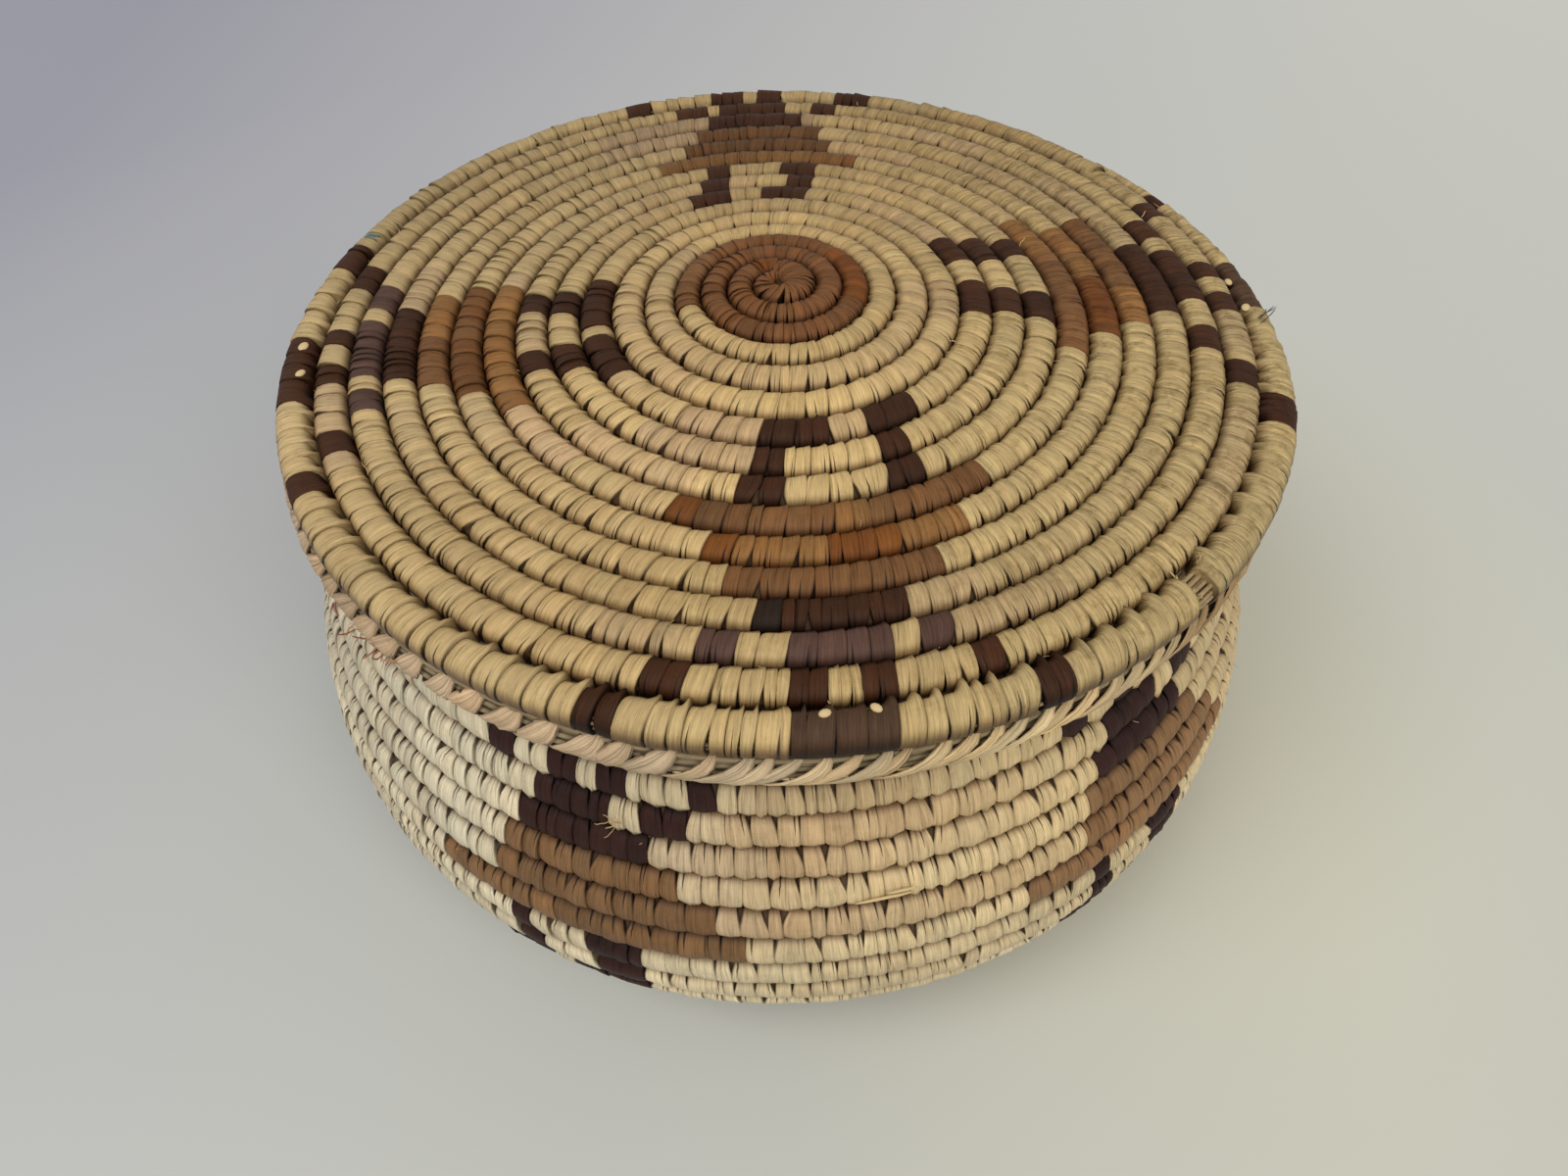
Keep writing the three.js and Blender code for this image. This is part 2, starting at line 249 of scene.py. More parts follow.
def lid_section(turn):
    """Middle, heading and half sizes of the lid's coil at a turn."""
    half = (CENTRE_PITCH + (LID_PITCH - CENTRE_PITCH) * clamp(turn - CENTRE_TURNS)) / 2
    return (*on_profile(lid_profile, lid_along(turn)), half * knot_growth(turn), LID_THICKNESS / 2)


def rim_section(turn):
    """The fat outer turn, which tapers out over the last part of its round."""
    size = RIM_TAPER_TO + (1 - RIM_TAPER_TO) * clamp((RIM_END - turn) / RIM_TAPER_TURNS)
    inner = lid_along(turn - 1) + LID_PITCH / 2 + RIM_GAP
    along = inner + RIM_WIDTH * size / 2
    thick = RIM_THICKNESS / 2 * (0.5 + 0.5 * size)
    return (*on_profile(lid_profile, along), RIM_WIDTH * size / 2, thick)


LID_COIL = (lid_section, LID_FRONT)
print("lid top", round(lid_top, 1), "rim radius", round(rim_section(16)[0], 1))

# %% [markdown]
# ## Dyes and figures
#
# The palm is used plain, and dyed dark brown, purple brown, mid brown and rust. A weaver changes
# strip where the drawing asks for it, so a figure is a list of stretches along each turn. The
# rows below say from which angle to which a turn is dyed. On the lid the figures have their
# feet towards the middle and their heads in the rim, and they face all four ways. On the wall
# they stand upright under the rim.

# %% The palette
def paint(red, green, blue):
    """A colour as seen on screen, made linear for the shaders."""
    def linear(value):
        value /= 255
        return value / 12.92 if value <= 0.04045 else ((value + 0.055) / 1.055) ** 2.4
    return (linear(red), linear(green), linear(blue))


DYES = {name: paint(*seen) for name, seen in {
    "straw": (193, 163, 110), "blush": (180, 148, 112), "rim": (199, 171, 119),
    "cream": (202, 181, 140), "chalk": (212, 203, 178), "butter": (208, 180, 130),
    "dark": (60, 32, 12), "umber": (75, 53, 36), "night": (48, 24, 19), "black": (42, 26, 14),
    "plum": (80, 57, 48), "brown": (112, 76, 43), "earth": (120, 89, 58), "tan": (132, 92, 49),
    "rust": (113, 65, 22), "russet": (109, 70, 34), "bark": (92, 61, 32), "fawn": (108, 74, 38),
    "centre": (113, 73, 40),
}.items()}
print(len(DYES), "dyes")

# %% The figures on the lid
LID_FIGURES = {
    7: {"dark": [(265, 283), (293, 308), (169, 193), (198, 217), (352, 368), (378, 391),
                 (440.4, 454.9), (464.7, 477.3)]},
    8: {"dark": [(264, 271), (292.5, 299.5), (174.5, 184), (197, 207.5), (355, 365), (377, 388),
                 (440, 447.1), (462.9, 471)]},
    9: {"dark": [(261.7, 270.7), (291, 298.4), (175, 182), (196, 203), (354, 364), (378, 385),
                 (440.3, 449), (461.6, 467.1)]},
    10: {"rust": [(251.2, 256)], "brown": [(256, 279), (285, 307), (346, 378)],
         "tan": [(279, 285), (171.5, 211), (378, 391)], "russet": [(432, 434.6)],
         "fawn": [(434.6, 476.7)]},
    11: {"rust": [(258.7, 263), (277, 288), (352, 369)],
         "tan": [(263, 277), (288, 298.4), (369, 385)],
         "russet": [(172, 181), (188, 203)], "brown": [(181, 188)], "bark": [(439, 469)]},
    12: {"brown": [(262.6, 291.6), (186, 198), (366, 386)], "tan": [(174.5, 186), (356, 366)],
         "bark": [(441.5, 465.1)]},
    13: {"black": [(266.8, 270)], "dark": [(270, 285), (178, 195), (359, 376.5), (445.5, 462.1)]},
    14: {"plum": [(261, 265.2), (270.7, 281.7), (284.7, 288.6), (172.6, 178), (181, 193),
                  (196, 200)],
         "dark": [(351, 356), (362, 374), (377, 382), (440, 444), (448.4, 459.6),
                  (461.5, 466.8)]},
    15: {"dark": [(256.4, 260.6), (270.7, 274.3), (277.6, 281), (289, 292), (168, 173),
                  (182, 185), (189, 193), (202, 206), (345.5, 350), (360, 364), (367, 370.5),
                  (382, 386), (435, 440.6), (449.2, 452.9), (455.2, 460.2), (469.9, 473.8)]},
    16: {"dark": [(251.6, 255.3), (293.2, 296.6), (163.4, 168.8), (183, 194.8), (207, 210.5),
                  (340, 345), (385, 388)], "umber": [(270.7, 280.1), (361, 370.5)]},
}
CENTRE_RUST = ((1.34, 1.62), (3.2, 3.38))
CENTRE_BROWN = 3.64


def drawn(figures, row, turn, lag=0):
    """The dye of the stretch of a row that a turn falls on, and None beside them."""
    for dye, stretches in figures.get(row, {}).items():
        for start, end in stretches:
            if row + (start + lag - 270) / 360 <= turn < row + (end + lag - 270) / 360:
                return dye
    return None


def lid_dye(turn):
    """The dye of the lid's strip at a turn, and None where it is plain."""
    if turn < CENTRE_END:
        if any(start < turn < end for start, end in CENTRE_RUST):
            return "rust"
        return "brown" if CENTRE_BROWN <= turn else "centre"
    row = math.floor(turn)
    return drawn(LID_FIGURES, row, turn) or drawn(LID_FIGURES, row + 1, turn)


print("dyed at the front of turn 10:", lid_dye(10.0), "and beside it:", lid_dye(10.15))

# %% The figures on the wall
WALL_FIGURES = {
    25.5: {"night": [(248, 254), (261, 264)]},
    24.5: {"night": [(237.4, 240.8), (244.9, 248.3), (250.5, 253.8), (260.4, 263.2)]},
    23.5: {"night": [(243.4, 251.9), (255.3, 260.1)]},
    22.5: {"night": [(241.7, 256.2)]},
    21.5: {"earth": [(240.2, 259.3)]},
    20.5: {"earth": [(239.4, 263.2)]},
    19.5: {"earth": [(232, 266.1)]},
    18.5: {"night": [(240.9, 243), (249.6, 255.5)]},
    17.5: {"night": [(241.3, 244.3), (250.5, 255.5)]},
    16.5: {"night": [(238, 244.3), (247, 255.5)]},
}
FIGURE_LAGS = (0, 63, 136, -151, -77)


def wall_dye(turn):
    """The dye of the wall's strip at a turn, and None where it is plain."""
    for row in (math.floor(turn) - 0.5, math.floor(turn) + 0.5, math.floor(turn) + 1.5):
        for lag in FIGURE_LAGS:
            dye = drawn(WALL_FIGURES, row, turn, lag)
            if dye:
                return dye
    return None


print("rows with figures on the wall:", len(WALL_FIGURES))

# %% [markdown]
# ## A row of wraps
#
# No two wraps are the same width, because each strip was split by hand, and narrow and wide ones
# come in runs, leaf by leaf. The list of wraps is made with a fixed seed. Each has its place,
# its width, its dye, and numbers that say how far it closes up where the next turn's strip
# bites into it, to which side, how it leans and how far its tongue hangs over the older turn.
# The list becomes a mesh of loose points that carry those numbers as attributes.

# %% Tones and dyes along a strip
def shade(colour, lot, spread, leaf=0.5):
    """A strip's own tone: lighter or darker with its leaf, and a touch pinker or greener."""
    light = (1 + spread * (lot.random() - 0.5) * 2) * (1 + 0.09 * math.sin(40 * leaf))
    warm = 1 + spread * 0.35 * (lot.random() - 0.5) * 2
    return (colour[0] * light * warm, colour[1] * light, colour[2] * light / warm)


DYE_STEPS = 20
DYE_HALVINGS = 6
JUST_AFTER = 0.00001


def same_dye(dye_at, turn, most):
    """How far a strip keeps its dye from a turn on, or None if that is further than asked."""
    dye, step = dye_at(turn + JUST_AFTER), most / DYE_STEPS
    for count in range(DYE_STEPS):
        low, high = turn + step * count, turn + step * (count + 1)
        if dye_at(high) != dye:
            for _ in range(DYE_HALVINGS):
                middle = (low + high) / 2
                low, high = (middle, high) if dye_at(middle) == dye else (low, middle)
            return high - turn
    return None


print("a straw's own tone:", [round(v, 3) for v in shade(DYES["straw"], random.Random(1), 0.1)])

# %% Make the points that carry the wraps
LEAF_WRAPS = (4, 14)
LEAF_WIDTHS = (0.76, 1.28)
STRIP_WIDTHS = (0.6, 0.88, 1.0, 1.05, 1.18)
LEAST_RADIUS = 4.0
LOOK_AHEAD = 2.4
CLIMB_STEP = 0.01


def wraps_along(coil, first, last, width, dye_at, plain, seed,
                slant=0.0, notch=0.4, notched=0.5, tip=0.1, corner=0.0):
    """A list of wraps of about a width, end to end, from one turn of a coil to another."""
    (section, front), lot = coil, random.Random(seed)
    wraps, turn, run_left, run_width, leaf = [], first, 0, 1.0, 0.5
    while turn < last:
        if run_left == 0:
            run_left = lot.randint(*LEAF_WRAPS)
            run_width, leaf = lot.uniform(*LEAF_WIDTHS), lot.random()
        run_left -= 1
        own_width = width * run_width * lot.choice(STRIP_WIDTHS)
        share = own_width / (2 * math.pi * max(section(turn)[0], LEAST_RADIUS))
        kept = same_dye(dye_at, turn, share * LOOK_AHEAD)
        if kept:
            share = kept / max(1, round(kept / share))
        middle = turn + share / 2
        ring, ahead = section(middle), section(middle + CLIMB_STEP)
        angle = front + 2 * math.pi * middle
        to_right = max(0.0, math.cos(angle))
        dye = dye_at(middle)
        colour = shade(DYES[dye], lot, 0.13, leaf) if dye else plain(angle, ring, lot, leaf)
        # Painted light: the earth dye is brighter to the right, where light falls on the wall.
        if dye == "earth":
            colour = [v * (1 + 0.4 * to_right) for v in colour]
        opened = lot.uniform(0.45, 1.0) if lot.random() < notched else lot.uniform(0.0, 0.2)
        wraps.append({
            "place": ring[:3], "angle": angle, "span": share * 2 * math.pi,
            "climb": [(ahead[i] - ring[i]) / (2 * CLIMB_STEP * math.pi) for i in (0, 1)] + [0.0],
            "half": [ring[3] * lot.uniform(0.98, 1.03), ring[4] * lot.uniform(0.96, 1.04),
                     tip * lot.uniform(0.4, 1.4) * (1 + 1.3 * to_right)],
            "tuck": [notch * opened, lot.uniform(0.05, 0.3), slant + lot.uniform(-0.05, 0.05)],
            "lean": [lot.uniform(-1, 1), lot.uniform(-0.05, 0.08),
                     corner + lot.uniform(-0.3, 0.3)],
            "dye": colour, "lot": lot.random() * 40, "sharp": lot.uniform(1.0, 2.4),
        })
        turn += share
    return wraps


VECTORS = ("place", "climb", "half", "tuck", "lean", "dye")
NUMBERS = ("angle", "span", "lot", "sharp")


def carry(mesh, name, rows, vectors=False):
    """Stores one number, or one vector, for each point of a mesh."""
    kind, field = ("FLOAT_VECTOR", "vector") if vectors else ("FLOAT", "value")
    values = [v for row in rows for v in row] if vectors else rows
    mesh.attributes.new(name, kind, "POINT").data.foreach_set(field, values)


def points_mesh(name, wraps, linked=False):
    """Loose points, or a chain of them, with the numbers of each wrap as attributes."""
    mesh = bpy.data.meshes.new(name)
    chain = [(i, i + 1) for i in range(len(wraps) - 1)] if linked else []
    mesh.from_pydata([(0, 0, 0)] * len(wraps), chain, [])
    for key in VECTORS + NUMBERS:
        carry(mesh, key, [wrap[key] for wrap in wraps], vectors=key in VECTORS)
    return mesh


print("each wrap carries", len(VECTORS) + len(NUMBERS), "attributes")

# %% [markdown]
# ## Node trees written as arithmetic
#
# Both the shapes and the finishes below are node trees. A socket is wrapped in a small class, so
# that adding or multiplying two of them adds the Math node. Every other node comes from one
# method, which takes its type, its inputs and its settings. What it gives stands for the
# node's first output.

# %% A socket that can be used in sums
class Socket:
    """A node's output, which plain Python arithmetic can be done on."""

    def __init__(self, bench, output):
        self.bench, self.output = bench, output

    def math(self, operation, *values):
        return self.bench.node("ShaderNodeMath", dict(enumerate(values)), operation=operation)

    def __add__(self, other): return self.math("ADD", self, other)
    def __radd__(self, other): return self + other
    def __sub__(self, other): return self.math("SUBTRACT", self, other)
    def __rsub__(self, other): return self.math("SUBTRACT", other, self)
    def __mul__(self, other): return self.math("MULTIPLY", self, other)
    def __truediv__(self, other): return self.math("DIVIDE", self, other)
    def __pow__(self, other): return self.math("POWER", self, other)
    def sin(self): return self.math("SINE", self)
    def cos(self): return self.math("COSINE", self)
    def above(self, floor): return self.math("MAXIMUM", self, floor)
    def below(self, ceiling): return self.math("MINIMUM", self, ceiling)
    def held(self, top=1.0): return self.above(0.0).below(top)
    def size(self): return self.math("ABSOLUTE", self)


class Made(Socket):
    """A node that has been made: its first output, with the others read by name."""

    def __init__(self, bench, node):
        super().__init__(bench, next((o for o in node.outputs if o.enabled), None))
        self.node = node

    def __getitem__(self, name):
        named = (o for o in self.node.outputs if o.name == name and o.enabled)
        return Socket(self.bench, next(named))


print("sockets can be added and multiplied")

# %% The bench that makes nodes
class Bench:
    """Makes the nodes of one tree."""

    def __init__(self, tree):
        self.tree = tree
        tree.nodes.clear()

    def node(self, kind, inputs=None, **settings):
        node = self.tree.nodes.new(kind)
        for name, value in settings.items():
            setattr(node, name, value)
        for name, value in (inputs or {}).items():
            named = [s for s in node.inputs if s.name == name and s.enabled]
            socket = named[0] if named else node.inputs[name]
            if isinstance(value, Socket):
                self.tree.links.new(value.output, socket)
            else:
                socket.default_value = value
        return Made(self, node)

    def split(self, vector):
        made = self.node("ShaderNodeSeparateXYZ", {"Vector": vector})
        return made["X"], made["Y"], made["Z"]

    def vector(self, x, y, z):
        return self.node("ShaderNodeCombineXYZ", {"X": x, "Y": y, "Z": z})

    def noise(self, place, scale, detail=2.0, rough=0.5):
        return self.node("ShaderNodeTexNoise", {
            "Vector": place, "Scale": scale, "Detail": detail, "Roughness": rough})

    def carried(self, name, kind="FLOAT"):
        """Reads a number or a vector that the points carry."""
        return self.node("GeometryNodeInputNamedAttribute", {"Name": name}, data_type=kind)

    def carried_vector(self, name):
        return self.split(self.carried(name, "FLOAT_VECTOR"))

    def store(self, geometry, name, value, kind="FLOAT_VECTOR"):
        return self.node("GeometryNodeStoreNamedAttribute", {
            "Geometry": geometry, "Name": name, "Value": value}, data_type=kind)

    def round_the_axis(self, angle, radius, height):
        """A place in metres, from an angle, and a radius and height in millimetres."""
        return self.vector(radius * angle.cos() * 0.001, radius * angle.sin() * 0.001,
                           height * 0.001)

    def moved(self, geometry, place):
        return self.node("GeometryNodeSetPosition", {"Geometry": geometry, "Position": place})

    def swept(self, curve, sides, radius, **more):
        """A stalk with closed ends along each line of a curve."""
        section = self.node("GeometryNodeCurvePrimitiveCircle", {
            "Resolution": sides, "Radius": radius})
        stalks = self.node("GeometryNodeCurveToMesh", {
            "Curve": curve, "Profile Curve": section, "Fill Caps": True, **more})
        return self.node("GeometryNodeRealizeInstances", {"Geometry": stalks})

    def close(self, geometry, finish):
        """Ends a tree of shapes, and gives it."""
        dressed = self.node("GeometryNodeSetMaterial", {
            "Geometry": geometry, "Material": finish})
        self.node("NodeGroupOutput", {"Geometry": dressed})
        return self.tree

    def painted(self, name):
        """Reads what the corners of a mesh carry, for a finish."""
        return self.node("ShaderNodeAttribute", attribute_name=name)

    def mix(self, share, a, b, how="MIX"):
        """Mixes two colours."""
        a, b = (v if isinstance(v, Socket) else (*v, 1) for v in (a, b))
        return self.node("ShaderNodeMix", {"Factor": share, "A": a, "B": b},
                         data_type="RGBA", blend_type=how)

    def bump(self, height, strength, distance):
        return self.node("ShaderNodeBump", {
            "Strength": strength, "Distance": distance, "Height": height})

    def surface(self, inputs):
        """Ends a finish with its shader."""
        shader = self.node("ShaderNodeBsdfPrincipled", inputs)
        self.node("ShaderNodeOutputMaterial", {"Surface": shader})


print("the bench is ready")

# %% [markdown]
# ## One wrap of palm strip
#
# A wrap is a short sleeve: the strip goes all the way round the bundle. Its section is
# slightly squared, because a bundle flattens where it lies against its neighbours. Along the coil
# it swells from a tucked edge to a crown and ends in an edge that lies over the next wrap.
# It is made once, in units of its own width and of the bundle's half sizes, and repeated.

# %% The shapes that are repeated
def mesh_of(shape, name):
    """The mesh of a shape that is ready."""
    mesh = bpy.data.meshes.new(name)
    shape.to_mesh(mesh)
    shape.free()
    return mesh


def skin(shape, rings):
    """Closes rings of corners into a sleeve, and gives its two end faces."""
    for a, b in zip(rings, rings[1:]):
        for corner in range(len(a)):
            after = (corner + 1) % len(a)
            shape.faces.new((a[corner], a[after], b[after], b[corner])).smooth = True
    ends = [shape.faces.new(ring) for ring in (rings[0], rings[-1])]
    bmesh.ops.recalc_face_normals(shape, faces=shape.faces)
    return ends


def keep_aside(mesh):
    """An object for a mesh that is only repeated by a tree, and never shown itself."""
    return bpy.data.objects.new(mesh.name, mesh)


def ring_strip(name, along, growth, sides, square=2.05):
    """A sleeve about the X axis: rings at the given places, grown by the given shares."""
    shape, rings = bmesh.new(), []
    for x, grown in zip(along, growth):
        ring = []
        for side in range(sides):
            angle = 2 * math.pi * (side + 0.5) / sides
            c, s = math.cos(angle), math.sin(angle)
            size = grown / (abs(c) ** square + abs(s) ** square) ** (1 / square)
            ring.append(shape.verts.new((x, c * size, s * size)))
        rings.append(ring)
    for end in skin(shape, rings):
        for edge in end.edges:
            edge.smooth = False
    return keep_aside(mesh_of(shape, name))


WRAP_ALONG = (-0.52, -0.47, 0.02, 0.47, 0.52)
WRAP_GROWTH = (0.93, 0.982, 1.0, 1.004, 0.955)
RIM_ALONG = (-0.515, -0.475, -0.3, -0.1, 0.1, 0.3, 0.475, 0.515)
RIM_GROWTH = (0.94, 0.978, 0.988, 0.996, 1.002, 1.008, 1.01, 0.96)
wrap_shape = ring_strip("wrap_shape", WRAP_ALONG, WRAP_GROWTH, 16, square=2.6)
rim_wrap_shape = ring_strip("rim_wrap_shape", RIM_ALONG, RIM_GROWTH, 20, square=2.3)
knot_shape = ring_strip("knot_shape", WRAP_ALONG, WRAP_GROWTH, 14, square=2.7)
core_shape = ring_strip("core_shape", (-0.55, 0.55), (0.85, 0.85), 8)
print("faces in a wrap:", len(wrap_shape.data.polygons))

# %% [markdown]
# ## The tree that winds the wraps
#
# The tree puts one copy of the shape on each point, makes the copies real, and moves every
# corner by arithmetic. A corner's X says where it is across the strip, and its Y and Z where it
# is round the bundle. Turned into an angle, a radius and a height, they bend each wrap along
# the coil, so wraps meet without wedges even in the tight centre. Where the strip dives
# between the turns it is drawn in, which opens the small dark notches that such baskets show.

# %% Build the winding tree
def start_tree(name, sizes):
    """Begins a tree of shapes with named inputs: gives its bench, and what it is given."""
    tree = bpy.data.node_groups.new(name, "GeometryNodeTree")
    tree.interface.new_socket("Geometry", in_out="INPUT", socket_type="NodeSocketGeometry")
    for label, kind, value in sizes:
        socket = tree.interface.new_socket(
            label, in_out="INPUT", socket_type="NodeSocket" + kind)
        if value is not None:
            socket.default_value = value
    tree.interface.new_socket("Geometry", in_out="OUTPUT", socket_type="NodeSocketGeometry")
    bench = Bench(tree)
    return bench, bench.node("NodeGroupInput")


def winding_tree():
    """Puts the shape on every point, and bends each copy along the coil."""
    bench, given = start_tree("wind_wraps", [
        ("Shape", "Object", None), ("Finish", "Material", None),
        ("Roughness in mm", "Float", 0.16)])
    shape = bench.node("GeometryNodeObjectInfo", {"Object": given["Shape"]})["Geometry"]
    copies = bench.node("GeometryNodeInstanceOnPoints", {
        "Points": given["Geometry"], "Instance": shape})
    real = bench.node("GeometryNodeRealizeInstances", {"Geometry": copies})
    x, y, z = bench.split(bench.node("GeometryNodeInputPosition"))
    radius, height, heading = bench.carried_vector("place")
    outer, rise, _ = bench.carried_vector("climb")
    half_width, half_thick, reach = bench.carried_vector("half")
    tuck_out, tuck_in, slant = bench.carried_vector("tuck")
    side, tilt, corner = bench.carried_vector("lean")
    angle, span, lot, sharp = (bench.carried(name) for name in NUMBERS)

    # Across the strip: drawn in where it dives between the turns.
    newer, older = y.above(0.0), (0 - y).above(0.0)
    lost = tuck_out * newer ** sharp + tuck_in * older ** 3.0
    turned = (x * (1 - lost) + side * lost * 0.5 + slant * y) * span

    # Round the bundle: a little uneven, with a tongue over the older turn.
    uneven = bench.noise(
        bench.vector(x * 1.7 + lot * 3.1, y * 1.3 + lot, z * 1.3 + 3.0), 1.6)
    full = 1.0 + (uneven - 0.5) * given["Roughness in mm"] * 0.5
    aside = x * 2.0 - corner
    steep = 1.2 + corner.above(0.0) * 0.9
    tongue = reach * older ** 2.0 * (1.15 - aside.size() * steep).above(-0.35).below(0.95)
    across = y * half_width * full * (1 + tongue)
    proud = z * half_thick * full * (1 + tilt * x * 2.0 + tongue * 0.3)
    flat = height + across * heading.sin() - proud * heading.cos() + rise * turned
    place = bench.round_the_axis(
        angle + turned,
        radius + outer * turned + across * heading.cos() + proud * heading.sin(),
        flat.above(0.0))

    strip = bench.vector(
        x * span * radius.above(6.0), z.math("ARCTAN2", z, y) * half_thick, lot)
    marked = bench.store(real, "strip", strip)
    edged = bench.store(marked, "edge", bench.vector(x, y, z))
    return bench.close(bench.moved(edged, place), given["Finish"])


winding = winding_tree()
print("nodes in the winding tree:", len(winding.nodes))

# %% Run a tree and keep the plain mesh
def placed(name, data):
    """A new object in the scene."""
    made = bpy.data.objects.new(name, data)
    bpy.context.scene.collection.objects.link(made)
    return made


def made_by(tree, name, mesh, values):
    """Runs a tree on a mesh and gives a new object that holds only the result."""
    worker = placed(name + "_points", mesh)
    modifier = worker.modifiers.new("tree", "NODES")
    modifier.node_group = tree
    for item in tree.interface.items_tree:
        if item.item_type == "SOCKET" and item.in_out == "INPUT" and item.name in values:
            modifier[item.identifier] = values[item.name]
    worker.update_tag()
    evaluated = worker.evaluated_get(bpy.context.evaluated_depsgraph_get())
    result = bpy.data.meshes.new_from_object(evaluated)
    result.name = name
    bpy.data.objects.remove(worker)
    return placed(name, result)


def finished(piece, body, slot, *nodes):
    """Joins a piece to its body and hides the nodes that it stands for. The slot is not used."""
    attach(piece, body)
    if nodes:
        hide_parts(*nodes)
    piece.data.calc_loop_triangles()
    print(piece.name, "rides on", body, "with", len(piece.data.loop_triangles), "triangles")

# %% [markdown]
# ## Palm strip and grass
#
# Palm leaf has fine veins along the strip, so round the bundle: noise that is stretched one
# way. Some leaves have split along a vein, and the split is a line of painted shade. Each wrap
# has its own dye and tone, brown creases at its edges that are painted shade with a little dirt,
# painted shade in the grooves between turns and a dry satin sheen. Grass is duller and lined
# along its length.

# %% Make the palm finish
DUST = paint(186, 172, 146)
GRIME = paint(186, 176, 150)
FLECK = paint(122, 92, 64)
# Painted shade for the grooves between turns, also laid over the leaf's own dark vein lines.
GROOVE_SHADE_AND_VEINS = paint(104, 66, 34)
# Painted shade, near black, for the creases and splits.
CREASE_AND_SPLIT_SHADE = paint(50, 28, 12)


def new_finish(name):
    """A new material, and the bench for its tree."""
    material = bpy.data.materials.new(name)
    material.use_nodes = True
    return material, Bench(material.node_tree)


def palm_finish(name, sheen=0.28, leaf=False):
    """Wraps have veins round the bundle. A lashing's leaf has them along its own length."""
    material, bench = new_finish(name)
    creased = 0.0 if leaf else 1.0
    dye = bench.painted("dye")
    across, round_it, lot = bench.split(bench.painted("strip")["Vector"])
    x, y, _ = bench.split(bench.painted("edge")["Vector"])
    if leaf:
        across = bench.painted("aside")["Fac"] * 2.4
    solid = bench.node("ShaderNodeTexCoord")["Object"]
    east, _, high = bench.split(solid)

    # How light the strip is: veins, a finer grain, stains, and dirt where it is handled.
    vein = bench.noise(bench.vector(across * 1.55, round_it * 0.07, lot), 1.0, 3.0, 0.6)
    fine = bench.noise(bench.vector(across * 4.4, round_it * 0.16, lot * 1.7), 1.0, 2.0, 0.6)
    stain = bench.noise(solid, 22.0, 4.0, 0.62)
    fleck = bench.noise(
        bench.vector(across * 1.2, round_it * 0.9, lot * 2.3), 1.4, 2.0, 0.7)
    handled = ((east - 0.02) * 12.0).held() * ((high - 0.155) * 300.0).held()
    dirt = 1.6 if leaf else 1 + handled * 0.6
    tone = 1.08 + (vein - 0.5) * 1.25 * dirt + (fine - 0.5) * 0.95 * dirt + (stain - 0.5) * 0.3
    thread = ((0.37 - vein) * 9.0).held(0.6)

    # Painted shade, with a little dirt in the creases: creases at the strip's edges, a split that
    # opens outwards, and the groove between turns.
    lean_edge = (x + (lot * 5.0).sin() * 0.02).size() * 2.0
    outward = 0.5 + y.above(-0.5).below(0.9) * 0.55
    crease = lean_edge.below(1.0) ** 19.0 * outward * creased
    place = (lot * 7.1).sin() * 0.3
    opening = 0.008 + y.above(0.0) ** 1.7 * 0.075
    has_split = ((lot * 3.3).sin() * 8.0 - 1.0).held(creased)
    split = (1.25 - (x - place).size() / opening).held() * (y * 6.0).held() * has_split
    groove = ((y.size() - 0.58) * 2.4).held() ** 1.7 * creased
    deep = (groove * 0.85 + thread * 0.42).below(0.93)
    crease_and_split_shade = (crease * 0.95 + split * 0.95).below(0.96)

    # The colours, one over the other.
    lit = bench.node("ShaderNodeVectorMath", {
        "Vector": dye, "Scale": tone.above(0.3)}, operation="SCALE")
    dusty = bench.mix((stain - 0.5).above(0.0) * 1.5, lit, DUST, "MULTIPLY")
    grime = (bench.noise(solid, 210.0, 4.0, 0.75) - 0.5).above(0.0) * (1.4 + handled * 2.6)
    grimy = bench.mix(grime.below(0.7), dusty, GRIME, "MULTIPLY")
    spotted = bench.mix((fleck - 0.66).above(0.0) * 2.2, grimy, FLECK)
    # Painted shade darkens the grooves between turns; the same colour darkens the leaf's own vein
    # lines.
    worn = bench.mix(deep, spotted, GROOVE_SHADE_AND_VEINS, "MULTIPLY")
    pale, _, _ = bench.split(dye)
    rough = sheen + 0.16 + stain * 0.14 + (1 - vein) * 0.2 - pale * 0.5
    # Painted shade, near black, in the creases and splits, laid over everything else.
    bench.surface({
        "Base Color": bench.mix(crease_and_split_shade, worn, CREASE_AND_SPLIT_SHADE, "MULTIPLY"),
        "Roughness": rough.below(0.95),
        "Normal": bench.bump(vein * 0.7 + fine * 0.3, 0.9, 0.0011 if leaf else 0.0005),
        "Specular IOR Level": 0.18})
    return material


palm = palm_finish("palm_strip")
lashing_palm = palm_finish("lashing_strip", sheen=0.5, leaf=True)
print("palm finish has", len(palm.node_tree.nodes), "nodes")

# %% Make the grass finish
def grass_finish(name, light, shadow):
    """Stalks that are lined along their length, each with a tone of its own."""
    material, bench = new_finish(name)
    along, number, _ = bench.split(bench.painted("strand")["Vector"])
    line = bench.noise(bench.vector(along * 0.06, number * 9.1, number * 3.7), 1.0, 3.0, 0.6)
    patch = bench.noise(bench.vector(along * 0.35, number * 5.3, 2.0), 1.0)
    bench.surface({
        "Base Color": bench.mix(line * 0.7 + patch * 0.5 - 0.1, shadow, light),
        "Roughness": 0.62 + line * 0.2,
        "Normal": bench.bump(line, 0.4, 0.0002)})
    return material


grass = grass_finish("bundle_grass", paint(170, 152, 116), paint(92, 74, 50))
rim_stalks = grass_finish("rim_stalks", paint(204, 178, 130), paint(92, 64, 38))
